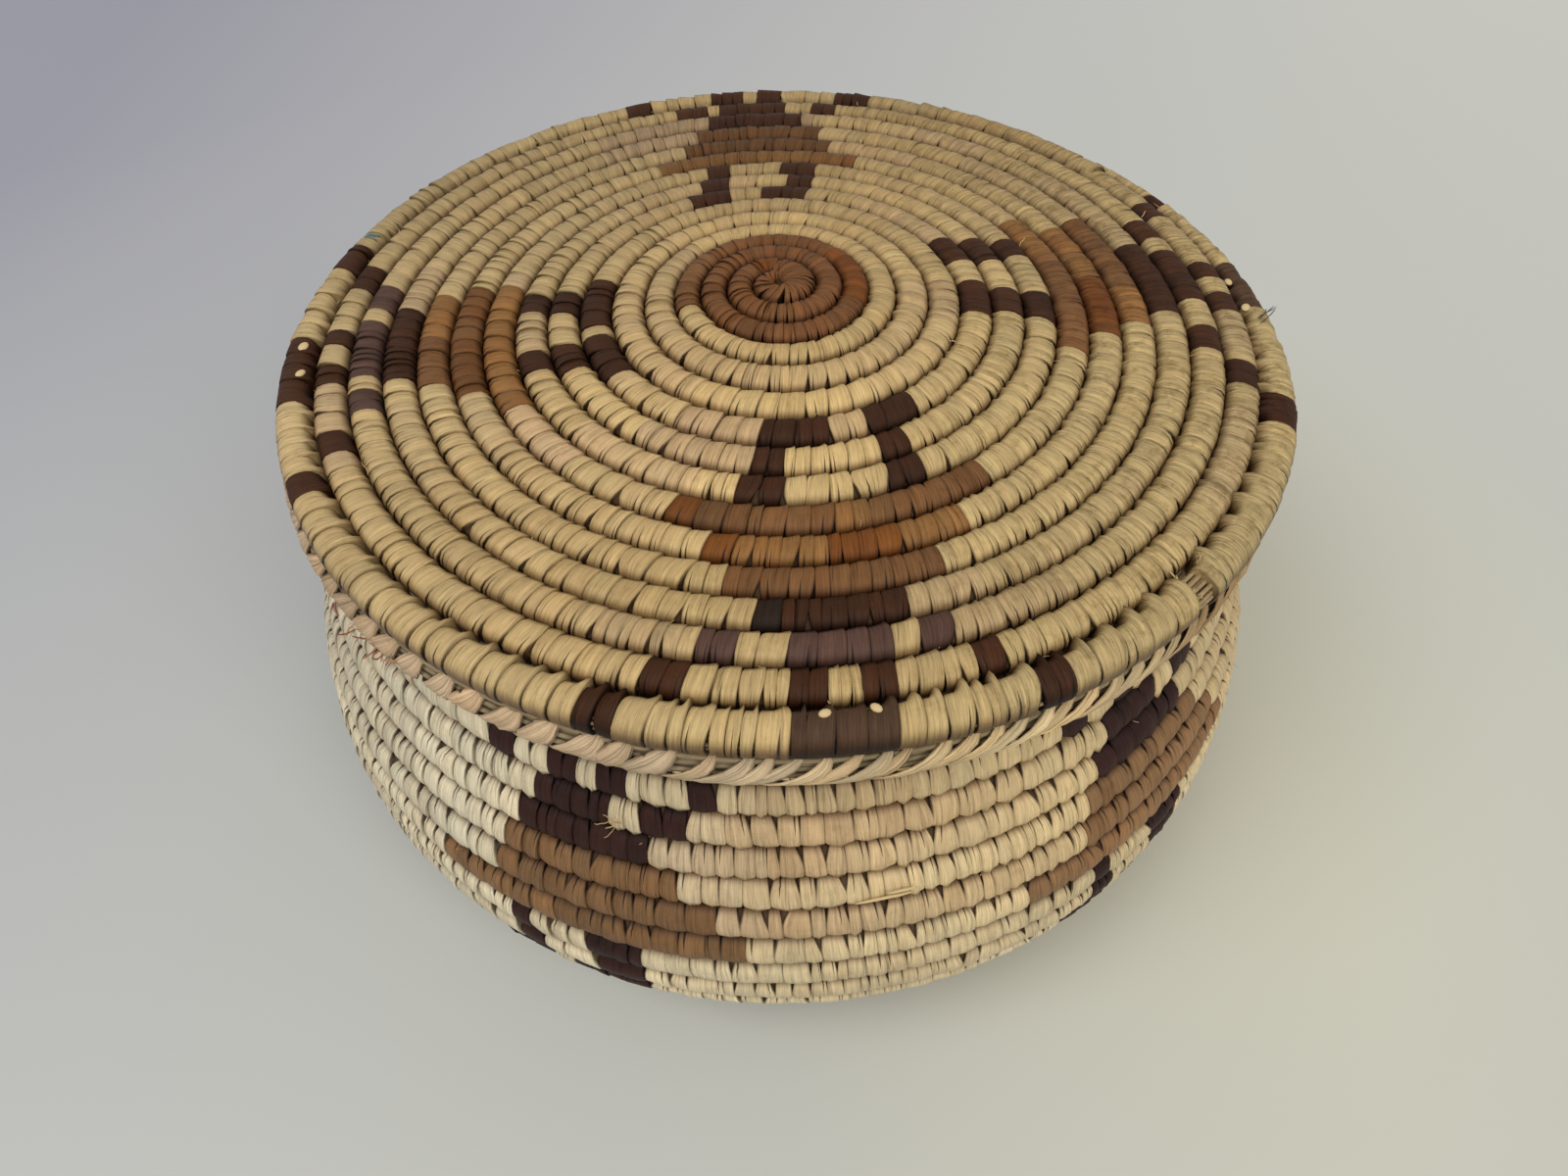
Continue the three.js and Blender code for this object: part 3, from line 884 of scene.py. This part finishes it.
# The grass core is painted dark: painted shade for the notches where it shows.
core_grass = grass_finish("core_grass", paint(104, 74, 42), paint(48, 30, 16))
print("grass finishes are ready")

# %% [markdown]
# ## The basket
#
# The base, the belly, the shoulder and the mouth are lengths of one coil. Each gets its row of
# wraps, and inside them a core of grass that is painted dark as the shade in the notches, where
# alone it shows. The cream strip of the wall is paler than the lid's, and blushes in places where
# another leaf was used.

# %% Plain strip on the wall
LOW_CREAM = paint(218, 203, 168)


def blend(first, second, share):
    """A colour between two."""
    return [a + (b - a) * share for a, b in zip(first, second)]


def wall_plain(angle, ring, lot, leaf):
    """Pale cream with runs of pinker strip; painted light makes it chalkier to the left and
    yellower to the right.
    """
    height, side = ring[1], math.cos(angle)
    run = math.sin(angle * 2.3 + height * 0.19) + 0.6 * math.sin(angle * 5.1 - height * 0.11)
    pinker = clamp(leaf - 0.4 + 0.3 * run + lot.uniform(-0.15, 0.15))
    base = blend(DYES["cream"], DYES["blush"], pinker)
    # Painted light: chalkier to the left, and yellower and brighter to the right, where light
    # falls.
    base = blend(base, DYES["chalk"], 0.75 * clamp(-side * 1.7))
    base = blend(base, DYES["butter"], 0.65 * clamp(side * 1.5))
    base = blend(base, LOW_CREAM, 0.6 * clamp((80 - height) / 50))
    return shade(base, lot, 0.06, leaf)


print("a strip low on the left:", [
    round(v, 2) for v in wall_plain(math.pi, (150, 40), random.Random(1), 0.5)])

# %% Lengths of coil
WALL_STRIP = 6.0
KNOT_STRIP = 1.5
CORE_STRIP = 9.0
WRAPS_IN_A_PIECE = 1200
KNOT_END = 1.5
EYE_RADIUS = 0.5


def strips_piece(name, body, slot, node, wraps, shape=wrap_shape):
    """The wraps of one length of coil."""
    strips = made_by(winding, name + "_strips", points_mesh(name, wraps), {
        "Shape": shape, "Finish": palm})
    finished(strips, body, slot, node)


def grass_inside(name, body, coil, first, last, seed):
    """The grass inside the wraps."""
    core = wraps_along(coil, first, last, CORE_STRIP, lambda turn: None,
                       lambda angle, ring, lot, leaf: (1, 1, 1), seed, notched=0, tip=0)
    grass_core = made_by(winding, name + "_grass", points_mesh(name + "_core", core), {
        "Shape": core_shape, "Finish": core_grass})
    finished(grass_core, body, "grass")


def basket_length(name, node, first, last, seed):
    """One length of the basket's coil, in as many pieces as keeps each one small."""
    wraps = wraps_along(BASKET_COIL, first, last, WALL_STRIP, wall_dye, wall_plain, seed,
                        slant=-0.05, notch=0.42, notched=0.6, tip=0.24)
    parts = math.ceil(len(wraps) / WRAPS_IN_A_PIECE)
    for part in range(parts):
        share = wraps[part * len(wraps) // parts:(part + 1) * len(wraps) // parts]
        strips_piece(f"{name}_{part + 1}", "basket", "palm_natural", node, share)
    grass_inside(name, "basket", BASKET_COIL, first, last, seed + 50)


def knot_section(section, start, pitch):
    """Sections that reach from the eye at the very centre to the first turn's outer edge."""
    def at(turn):
        _, height, _, _, thick = section(turn)
        outer = start + pitch * (turn - 0.5)
        return ((outer + EYE_RADIUS) / 2, height, 0.0, (outer - EYE_RADIUS) / 2, thick)
    return at


def knot_piece(name, body, slot, node, coil, start, pitch, dye, seed):
    """The first turn: narrow strips that run out from the eye, with a swirl."""
    knot = (knot_section(coil[0], start, pitch), coil[1])
    wraps = wraps_along(knot, KNOT_END - 1, KNOT_END, KNOT_STRIP, lambda turn: dye, wall_plain,
                        seed, slant=-1.1, notch=0.3, tip=0.0)
    strips_piece(name, body, slot, node, wraps, shape=knot_shape)
    grass_inside(name, body, coil, START_TURN, KNOT_END, seed + 50)


basket_length("basket_base", "basket_base_coil", KNOT_END, FOOT_TURN, 11)
basket_length("basket_belly", "basket_belly_coil", FOOT_TURN, SPLICE_TURN, 12)
basket_length("basket_shoulder", "basket_shoulder_coil", SPLICE_TURN, MOUTH_TURN, 13)
basket_length("basket_mouth", "basket_mouth_coil", MOUTH_TURN, MOUTH_END, 14)
knot_piece("basket_base_knot", "basket", "palm_natural", "basket_base_coil", BASKET_COIL,
           BASKET_START, WALL_PITCH, dye=None, seed=15)

# %% [markdown]
# ## The lid
#
# The lid's strips are a warmer straw, dustier and greyer on one side where it has been handled.
# The centre is a knot of dyed strip in narrow wraps.

# %% Plain strip on the lid
LID_STRIP = 5.4
CENTRE_STRIP = 3.5
RIM_FROM = 143
HANDLED_STRAW = paint(182, 160, 112)
# Painted light for the lid's left side.
LIT_STRAW = paint(202, 179, 134)


def lid_plain(angle, ring, lot, leaf):
    """Warm straw, pinker in runs, greyer to the right, with painted light at the left and front
    and painted shade behind.
    """
    radius = ring[0]
    off_centre = min(1.0, radius / 90)
    right = max(0.0, math.cos(angle + 0.45)) * off_centre
    left = max(0.0, -math.cos(angle)) * off_centre
    behind = clamp(0.3 + math.sin(angle) * radius / 120)
    front = max(0.0, -math.sin(angle)) * math.exp(-((radius - 75) / 35) ** 2)
    outwards = min(1.0, radius / 140) ** 2
    pinker = min(1.0, leaf ** 5 * 1.2 + 0.25 * lot.random() ** 3)
    base = blend(DYES["straw"], DYES["blush"], pinker)
    if radius > RIM_FROM:
        base = blend(base, DYES["rim"], 0.8)
    tone = blend(shade(base, lot, 0.07, leaf), HANDLED_STRAW, 0.65 * right)
    # Painted light: paler to the left.
    tone = blend(tone, LIT_STRAW, 0.4 * left)
    # Painted light and shade: darker behind and towards the edge, less so on the right, and
    # lighter at the front.
    painted_light_and_shade = 0.96 * (1 - (0.25 - 0.1 * right) * behind) * (1 - 0.12 * outwards) * (1 + 0.14 * front)
    return tuple(v * painted_light_and_shade for v in tone)


def lid_length(name, node, first, last, width, seed, slot="palm_natural"):
    """One length of the lid's coil."""
    wraps = wraps_along(LID_COIL, first, last, width, lid_dye, lid_plain, seed,
                        slant=-0.12, notch=0.36, notched=0.45, tip=0.1, corner=0.7)
    strips_piece(name, "lid", slot, node, wraps)
    grass_inside(name, "lid", LID_COIL, first, last, seed + 50)


lid_length("lid_centre", "lid_centre_coil", KNOT_END, CENTRE_END, CENTRE_STRIP, 21, "palm_dyed")
lid_length("lid_disc", "lid_disc_coil", CENTRE_END, RIM_START, LID_STRIP, 22)
knot_piece("lid_centre_knot", "lid", "palm_dyed", "lid_centre_coil", LID_COIL,
           LID_START, CENTRE_PITCH, dye="centre", seed=25)

# %% [markdown]
# The rim's wraps are wide, and their inner ends stand up in small tongues over the turn
# before. At one place, to the right of the front, a wrap has worn through and is missing.

# %% The rim
WORN_TURN = 16.124
WORN_ANGLE = LID_FRONT + 2 * math.pi * WORN_TURN
RIM_STRIP = 6.7
rim_wraps = wraps_along((rim_section, LID_FRONT), RIM_START, RIM_END, RIM_STRIP, lid_dye,
                        lid_plain, seed=23, slant=-0.1, notch=0.26, notched=0.4, tip=0.3,
                        corner=0.85)
worn = min(rim_wraps, key=lambda wrap: abs(wrap["angle"] - WORN_ANGLE))
rim_wraps.remove(worn)
strips_piece("lid_rim", "lid", "palm_natural", "lid_rim_wrap", rim_wraps, shape=rim_wrap_shape)
print("worn place is", round(worn["span"] * worn["place"][0], 1), "mm wide")

# %% [markdown]
# ## The skirt under the rim
#
# Under the rim hangs a bundle of bare grass, which drops over the neck and keeps the lid in place.
# It is lashed with twisted strips that slant up the outside. The strands are one run, copied
# many times about the bundle's middle and swept into thin stalks.

# %% The run of the bundle
SKIRT_RADIUS = 147.7
SKIRT_SPREAD = 3.0
SKIRT_HALF = 3.5
SKIRT_TALL = SKIRT_HALF + 1.0
SKIRT_OVERLAP = 0.7
LASHING_REACH = 1.5
PACKED = 1.8
RUN_STEPS = 240
RUN_INSET = 0.001
SIX_CORNERS = ((1, 0.5), (1, -0.5), (0, -1), (-1, -0.5), (-1, 0.5), (0, 1))
BARE = {"span": 1.0, "climb": (0, 0, 0), "tuck": (0, 0, 0), "lean": (0, 0, 0),
        "dye": (1, 1, 1), "lot": 0.0, "sharp": 1.0}


def rim_underside(turn):
    """Height of the rim's lowest corner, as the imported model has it."""
    _, height, heading, wide, thick = rim_section(turn)
    return min(height - math.cos(heading) * t * thick + math.sin(heading) * w * wide
               for t, w in SIX_CORNERS)


def skirt_section(turn):
    """The bundle, a little taller than it is wide, so that it is packed close under the rim."""
    height = rim_underside(turn) + SKIRT_OVERLAP - LASHING_REACH - SKIRT_HALF
    radius = SKIRT_RADIUS + SKIRT_SPREAD * (turn - RIM_START)
    return (radius, height, 0.0, SKIRT_HALF, SKIRT_TALL)


def packed_section(turn):
    """The bundle with its top pressed up into the rim, so that no light comes between."""
    radius, height, heading, wide, thick = skirt_section(turn)
    return (radius, height + PACKED / 2, heading, wide, thick + PACKED / 2)


def rim_run(name, section):
    """A chain of points once round the rim, which carry what the wraps' points do."""
    first, last, run = RIM_START + RUN_INSET, RIM_END - RUN_INSET, []
    for step in range(RUN_STEPS + 1):
        turn = first + (last - first) * step / RUN_STEPS
        ring = section(turn)
        run.append({**BARE, "place": ring[:3], "angle": LID_FRONT + 2 * math.pi * turn,
                    "half": (ring[3], ring[4], 0)})
    return points_mesh(name, run, linked=True)


print("skirt hangs at", [round(v, 1) for v in skirt_section(16)[:2]])

# %% Build the bundle tree
GOLDEN_ANGLE = 2.39996
STRAND_WANDER = 1.6


def bundle_tree():
    """Copies a run into strands, spread evenly about its middle, and sweeps them."""
    bench, given = start_tree("lay_strands", [
        ("Finish", "Material", None), ("Strands", "Int", 24), ("Spread", "Float", 1.0),
        ("Stalk radius in mm", "Float", 0.75), ("Seed", "Int", 5)])
    line = bench.node("GeometryNodeMeshToCurve", {"Mesh": given["Geometry"]})
    copies = bench.node("GeometryNodeDuplicateElements", {
        "Geometry": line, "Amount": given["Strands"]}, domain="SPLINE")
    kept = bench.store(copies, "number", copies["Duplicate Index"], "FLOAT")
    own, angle = bench.carried("number"), bench.carried("angle")
    radius, height, heading = bench.carried_vector("place")
    half_width, half_thick, _ = bench.carried_vector("half")
    share = ((own + 0.5) / given["Strands"]) ** 0.5
    about = own * GOLDEN_ANGLE + angle * 0.35
    shift = bench.noise(bench.vector(angle * 3.0, own * 7.3, given["Seed"]), 1.0) - 0.5
    lift = bench.noise(bench.vector(angle * 3.0, own * 5.9, given["Seed"] + 40.0), 1.0) - 0.5
    across = about.cos() * share * half_width * given["Spread"] + shift * STRAND_WANDER
    proud = about.sin() * share * half_thick * given["Spread"] + lift * STRAND_WANDER
    laid = bench.moved(kept, bench.round_the_axis(
        angle,
        radius + across * heading.cos() + proud * heading.sin(),
        height + across * heading.sin() - proud * heading.cos()))
    marked = bench.store(laid, "strand", bench.vector(angle * radius, own, 0.0))
    stalks = bench.swept(marked, 5, given["Stalk radius in mm"] * 0.001)
    return bench.close(stalks, given["Finish"])


bundle = bundle_tree()
finished(made_by(bundle, "lid_skirt_grass", rim_run("skirt_run", packed_section), {
    "Finish": grass, "Strands": 26}), "lid", "grass", "lid_skirt_bundle")

# %% The grass inside the rim, seen where the wrap has worn away
finished(made_by(bundle, "lid_rim_grass", rim_run("rim_run", rim_section), {
    "Finish": rim_stalks, "Strands": 30, "Stalk radius in mm": 0.6, "Spread": 0.74,
    "Seed": 9}), "lid", "grass", "lid_rim_core")

# %% [markdown]
# The lashing is a leaf-shaped strip: a thin tail that runs along the lower edge, a broad blade
# that slants up across the outside, and a blunt end that dives behind the bundle. It is one
# shape again, placed by the same winding tree. Towards the right the blades grow longer and paler.

# %% The lashing's shape
LASHING_PATH = (
    (-150, -13.5, 0.8), (-108, -12.4, 1.0), (-76, -10.6, 1.2), (-56, -8.4, 1.6), (-40, -6.0, 2.1),
    (-24, -3.6, 2.7), (-8, -1.2, 3.1), (8, 1.0, 3.35), (24, 2.8, 3.4), (40, 4.1, 3.1),
    (58, 5.0, 2.3), (86, 5.6, 1.5), (125, 6.0, 0.9), (180, 6.2, 0.6),
)
LASHING_RING = ((-1, -0.05), (-0.5, 0.34), (0.1, 0.42), (0.7, 0.3), (1, 0.0), (0, -0.32))


def lashing_shape(breadth):
    """A closed strip that goes once round the bundle, in millimetres."""
    shape, rings = bmesh.new(), []
    aside_layer = shape.verts.layers.float.new("aside")
    last = len(LASHING_PATH) - 1
    for i, (about, advance, wide) in enumerate(LASHING_PATH):
        before, after = LASHING_PATH[max(i - 1, 0)], LASHING_PATH[min(i + 1, last)]
        rise = math.radians(after[0] - before[0]) * SKIRT_TALL
        slope = math.atan2(rise, after[1] - before[1])
        lifted = 0.5 * math.exp(-((about - 8) / 42) ** 2)
        ring = []
        for side, deep in LASHING_RING:
            aside = side * wide * breadth
            turn = math.radians(about) + aside * math.cos(slope) / SKIRT_TALL
            out = SKIRT_TALL + lifted + deep
            corner = shape.verts.new((
                advance - aside * math.sin(slope), math.cos(turn) * out, -math.sin(turn) * out))
            corner[aside_layer] = side
            ring.append(corner)
        rings.append(ring)
    skin(shape, rings)
    return keep_aside(mesh_of(shape, "lashing_shape"))


print("places along the lashing's path:", len(LASHING_PATH))

# %% Lay the lashing
LASHING_SPACING = 10.5
LEAF_LEFT, LEAF_PALE, LEAF_RIGHT = paint(182, 157, 127), paint(212, 188, 144), paint(166, 137, 97)
PALER_FROM = 15.96
THIN_FROM = 15.975
DARKER_FROM = 16.05


def share_of_round(length):
    """The part of a turn that a length takes up on the skirt."""
    return length / (2 * math.pi * SKIRT_RADIUS)


def lashing_piece(name, first, last, spacing, stretch, breadth, seed):
    """The lashing over one part of the round."""
    lot = random.Random(seed)
    wraps, turn = [], first
    while turn < last:
        ring = skirt_section(turn)
        paler = clamp((turn - PALER_FROM) / 0.1)
        leaf = blend(LEAF_LEFT, LEAF_PALE, paler)
        leaf = blend(leaf, LEAF_RIGHT, clamp((turn - DARKER_FROM) / 0.08))
        wraps.append({
            **BARE, "place": ring[:3], "angle": LID_FRONT + 2 * math.pi * turn,
            "span": (lot.uniform(0.8, 1.06) * stretch + 0.2 * paler) / ring[0],
            "half": (lot.uniform(0.99, 1.06), lot.uniform(1.16, 1.26), 0),
            "tuck": (0, 0, lot.uniform(-0.3, 0.3)),
            "dye": shade(leaf, lot, 0.14), "lot": lot.random() * 40})
        turn += share_of_round(spacing) * lot.uniform(0.85, 1.12)
    finished(made_by(winding, name, points_mesh(name, wraps), {
        "Shape": lashing_shape(breadth), "Finish": lashing_palm, "Roughness in mm": 0.6,
    }), "lid", "palm_natural", "lid_skirt_lashing")


one_lashing = share_of_round(LASHING_SPACING)
lashing_piece("lid_skirt_lashing_leaves", RIM_START + one_lashing, THIN_FROM,
              spacing=9.6, stretch=1.0, breadth=1.0, seed=31)
lashing_piece("lid_skirt_lashing_strands", THIN_FROM + one_lashing * 0.1,
              RIM_END - one_lashing, spacing=7.0, stretch=1.3, breadth=0.47, seed=32)

# %% [markdown]
# ## Loose ends
#
# Years of use leave threads that have worked loose. Most are short whiskers that stand out of the
# grooves. A few are longer: dark ones at the lid's right edge, reddish and blue-green ones at
# its left, grass at the worn place of the rim, and pale ones on the wall near the front. Each
# is a bent line of points, and one tree draws them all as thin stalks.

# %% The tree that draws threads
def thread_tree():
    """Sweeps chains of points into stalks, each point as thick as it says in millimetres."""
    bench, given = start_tree("draw_threads", [("Finish", "Material", None)])
    line = bench.node("GeometryNodeMeshToCurve", {"Mesh": given["Geometry"]})
    stalks = bench.swept(line, 4, 0.001, Scale=bench.carried("thick"))
    return bench.close(stalks, given["Finish"])


threads = thread_tree()
loose_thread, thread_bench = new_finish("loose_thread")
thread_bench.surface({"Base Color": thread_bench.painted("dye"), "Roughness": 0.6})
print("threads can be drawn")

# %% Lines of points for the threads
def spot(degrees, radius, height):
    """A point in metres, from an angle and millimetres."""
    angle = math.radians(degrees)
    return Vector((radius * math.cos(angle), radius * math.sin(angle), height)) * 0.001


def any_way(lot, reach):
    """A vector that points anywhere."""
    return Vector([lot.uniform(-reach, reach) for _ in range(3)])


def bent_line(start, heading, length, curl, lot, steps=4):
    """Points from a start, along a heading that curls as it goes."""
    points, way = [start], heading.normalized()
    for _ in range(steps):
        points.append(points[-1] + way * length / steps * 0.001)
        way = (way + any_way(lot, curl)).normalized()
    return points


def threads_piece(name, body, lines):
    """Draws lines, each given as (points, thickness in mm, dye)."""
    mesh = bpy.data.meshes.new(name)
    places, chain, thick, dyes = [], [], [], []
    for points, radius, dye in lines:
        for i, point in enumerate(points):
            if i:
                chain.append((len(places) - 1, len(places)))
            places.append(point)
            thick.append(radius * (1.0 if 0 < i < len(points) - 1 else 0.5))
            dyes.append(dye)
    mesh.from_pydata(places, chain, [])
    carry(mesh, "thick", thick)
    carry(mesh, "dye", dyes, vectors=True)
    finished(made_by(threads, name, mesh, {"Finish": loose_thread}), body, "palm_natural")


def whiskers(coil, first, last, count, seed):
    """Short threads that stand out of the grooves between turns."""
    (section, front), lot, lines = coil, random.Random(seed), []
    for _ in range(count):
        turn = math.sqrt(lot.uniform(first ** 2, last ** 2))
        radius, height, heading, half, thick = section(turn)
        up = Vector((math.sin(heading), 0, -math.cos(heading))) * (-1 if front == LID_FRONT else 1)
        across = Vector((math.cos(heading), 0, math.sin(heading)))
        foot = Vector((radius, 0, height)) + across * half * lot.uniform(0.7, 1.0)
        foot += up * thick * lot.uniform(0.35, 0.7)
        twist = Matrix.Rotation(front + 2 * math.pi * turn, 3, "Z")
        way = up * lot.uniform(0.2, 0.8) + any_way(lot, 1) * 0.8
        dye = shade(DYES[lot.choice(("straw", "rim", "cream"))], lot, 0.15)
        points = bent_line(twist @ foot * 0.001, twist @ way, lot.uniform(1.6, 4.2), 0.5, lot)
        lines.append((points, lot.uniform(0.07, 0.16), dye))
    return lines


print("a whisker's first point:", [
    round(v, 3) for v in whiskers(LID_COIL, 5, 15, count=1, seed=1)[0][0][0]])

# %% Threads that hang at one place
def pick(lot, value):
    """A number as it is, or one between two."""
    return lot.uniform(*value) if isinstance(value, tuple) else value


def tuft(lot, count, place, way, length, curl, steps, thick, dyes, sides=None):
    """Threads from near one place: each value is a number, or a lowest and a highest.
    With sides, the degrees are counted from one of those angles."""
    lines = []
    for _ in range(count):
        degrees, radius, height = place
        degrees = lot.choice(sides) + pick(lot, degrees) if sides else pick(lot, degrees)
        start = spot(degrees, pick(lot, radius), pick(lot, height))
        heading = Vector([pick(lot, value) for value in way])
        points = bent_line(start, heading, pick(lot, length), curl, lot, steps)
        thickness = pick(lot, thick)
        lines.append((points, thickness, paint(*(lot.choice(dyes) if len(dyes) > 1 else dyes[0]))))
    return lines


lot = random.Random(77)
wall_threads = whiskers(BASKET_COIL, 13, 26, count=60, seed=41) + tuft(
    lot, 6, place=((252.4, 254), 152.6, (109, 115)), way=((-1, -0.4), -0.3, (-0.9, 0.8)),
    length=(3, 8), curl=0.3, steps=7, thick=(0.1, 0.2), dyes=[(190, 158, 108)])
threads_piece("basket_threads", "basket", wall_threads)

lid_threads = whiskers(LID_COIL, 5, 15.3, count=60, seed=42)
lid_threads += tuft(
    lot, 4, place=((-2.5, -0.5), 149, 162), way=(1, (0.6, 1.0), 0.15),
    length=(6, 9.5), curl=0.12, steps=6, thick=(0.12, 0.2), dyes=[(58, 42, 34)])
lid_threads += tuft(
    lot, 26, place=((219, 232), (152.6, 154), (142, 147)), way=((-1, 1), (-1, 0), (-0.7, 0.7)),
    length=(2.5, 6), curl=0.5, steps=5, thick=(0.15, 0.35),
    dyes=[(150, 88, 62), (172, 124, 92), (190, 156, 128)])
worn_degrees = math.degrees(WORN_ANGLE) % 360
lid_threads += tuft(
    lot, 16, place=((-0.4, 0.4), (145, 153), 160), way=((-1, 1), (-1, 1), 0.5),
    length=(2, 4.5), curl=0.4, steps=4, thick=(0.12, 0.3), dyes=[(196, 170, 124)],
    sides=(worn_degrees - 1.9, worn_degrees + 1.9))

BLUE_GREEN_TURN = 15.698
radius, height, _, _, thick = rim_section(BLUE_GREEN_TURN)
for i, dye in enumerate(((96, 132, 130), (74, 116, 120), (66, 106, 112))):
    start = spot(160.8 + i * 0.4, radius + 2.2, height + thick - 0.1)
    points = bent_line(start, Vector((1, -0.35, 0.02)), length=5.5, curl=0.12, lot=lot, steps=5)
    lid_threads.append((points, 0.3, paint(*dye)))
threads_piece("lid_threads", "lid", lid_threads)

# %% [markdown]
# On the rim, the heads of three figures have two pale knots each for eyes. On the wall, one
# splint has come away and lies along its turn.

# %% Knots and a splint
EYE_SIZES = (1.6, 1.15, 0.75)


def turned(degrees, axis="Z"):
    """A turn about an axis."""
    return Matrix.Rotation(math.radians(degrees), 3, axis)


def small_pieces(name, body, rows):
    """Small rounded knots, each given as (place, sizes in mm, turn)."""
    shape = bmesh.new()
    for place, sizes, way in rows:
        made = bmesh.ops.create_uvsphere(shape, u_segments=10, v_segments=7, radius=0.001)
        move = Matrix.Translation(place) @ way.to_4x4() @ Matrix.Diagonal((*sizes, 1))
        bmesh.ops.transform(shape, matrix=move, verts=made["verts"])
    for face in shape.faces:
        face.smooth = True
    mesh = mesh_of(shape, name)
    carry(mesh, "dye", [paint(206, 181, 132)] * len(mesh.vertices), vectors=True)
    mesh.materials.append(loose_thread)
    finished(placed(name, mesh), body, "palm_natural")


eyes = []
for degrees, inwards, size, tilt in ((273.7, 1.6, 1.0, 20), (278.3, 1.8, 1.0, -35),
                                     (361.2, 3.0, 1.2, 60), (366.6, 3.6, 1.0, 100),
                                     (185.0, 1.0, 1.3, 80), (190.1, 2.0, 1.1, 60)):
    radius, height, _, _, thick = rim_section(16 + (degrees - 270) / 360)
    wide, deep, high = EYE_SIZES
    eyes.append((spot(degrees, radius - inwards, height + thick),
                 (wide * size, deep * size, high), turned(tilt)))
small_pieces("lid_eye_knots", "lid", eyes)
small_pieces("basket_splint", "basket", [
    (spot(279.6, 160.6, 88.6), (8.6, 0.45, 0.5), turned(10) @ turned(-4, "Y")),
    (spot(281.4, 160.4, 91.0), (4.4, 0.4, 0.4), turned(13))])

# %% [markdown]
# ## Floor, light and camera
#
# The basket stands on a pale table in soft daylight. One broad lamp stands at the left like a
# window, and one in front at the right lightens the shadows. The camera looks down from close
# by, at a wide angle, so the lid looks large.

# %% The table
TABLE_HALF = 6


def table_finish():
    """Pale, with broad soft falls of painted light, cooler to the left and far away, and a painted
    pool of light to the right of the basket.
    """
    material, bench = new_finish("pale_table")
    x, y, _ = bench.split(bench.node("ShaderNodeTexCoord")["Object"])
    away = (y * 0.9 - x * 0.5 + 0.4).held()
    right = (x * 0.9 + 0.45).held()
    near = bench.mix(right, paint(196, 199, 194), paint(190, 192, 181))
    far = bench.mix(right, paint(154, 155, 168), paint(222, 222, 216))
    # Painted light: a warm pool beside the basket on the right, which lightens its shadow.
    beside = (1.7 - (x ** 2.0 + y ** 2.0) ** 0.5 * 4.6).held() * (x * 5.0).held()
    tone = bench.mix(beside, bench.mix(away, near, far), paint(211, 208, 188))
    bench.surface({"Base Color": tone, "Roughness": 0.42, "Specular IOR Level": 0.35})
    return material


table_mesh = bpy.data.meshes.new("table")
corners = [(x * TABLE_HALF, y * TABLE_HALF, 0) for x, y in ((-1, -1), (1, -1), (1, 1), (-1, 1))]
table_mesh.from_pydata(corners, [], [(0, 1, 2, 3)])
table_mesh.materials.append(table_finish())
placed("table", table_mesh)
print("table laid")

# %% The light
LAMP_AIM = (0, 0, 0.1)
LAMP_SIZE = 1.8
LAMP_POWER = 36


def area_light(name, place, colour):
    """A large soft lamp, turned towards the basket."""
    lamp = bpy.data.lights.new(name, "AREA")
    lamp.shape, lamp.size, lamp.energy, lamp.color = "DISK", LAMP_SIZE, LAMP_POWER, colour
    holder = placed(name, lamp)
    holder.location = place
    aim = Vector(LAMP_AIM) - Vector(place)
    holder.rotation_euler = aim.to_track_quat("-Z", "Y").to_euler()


area_light("window", (-1.6, -0.9, 2.7), (1.0, 0.985, 0.95))
area_light("room", (1.5, -2.0, 2.1), (1.0, 0.98, 0.94))
world = bpy.data.worlds.new("room_light")
bpy.context.scene.world = world
world.use_nodes = True
sky = Bench(world.node_tree)
glow = sky.node("ShaderNodeBackground", {"Color": (0.9, 0.895, 0.885, 1), "Strength": 0.6})
sky.node("ShaderNodeOutputWorld", {"Surface": glow})
bpy.context.scene.view_settings.view_transform = "Standard"

# %% The camera
CAMERA_PLACE = (0.0006, -0.2816, 0.3701)
CAMERA_DOWN = 50.39
CAMERA_ROLL = 0.71
LENS_MM = 24.975
SENSOR_MM = 36.0
lens = bpy.data.cameras.new("camera")
lens.sensor_width, lens.lens = SENSOR_MM, LENS_MM
camera = placed("camera", lens)
facing = turned(90 - CAMERA_DOWN, "X") @ turned(-CAMERA_ROLL)
camera.matrix_world = Matrix.Translation(CAMERA_PLACE) @ facing.to_4x4()
bpy.context.scene.camera = camera
print("camera at", [round(v, 3) for v in camera.location])
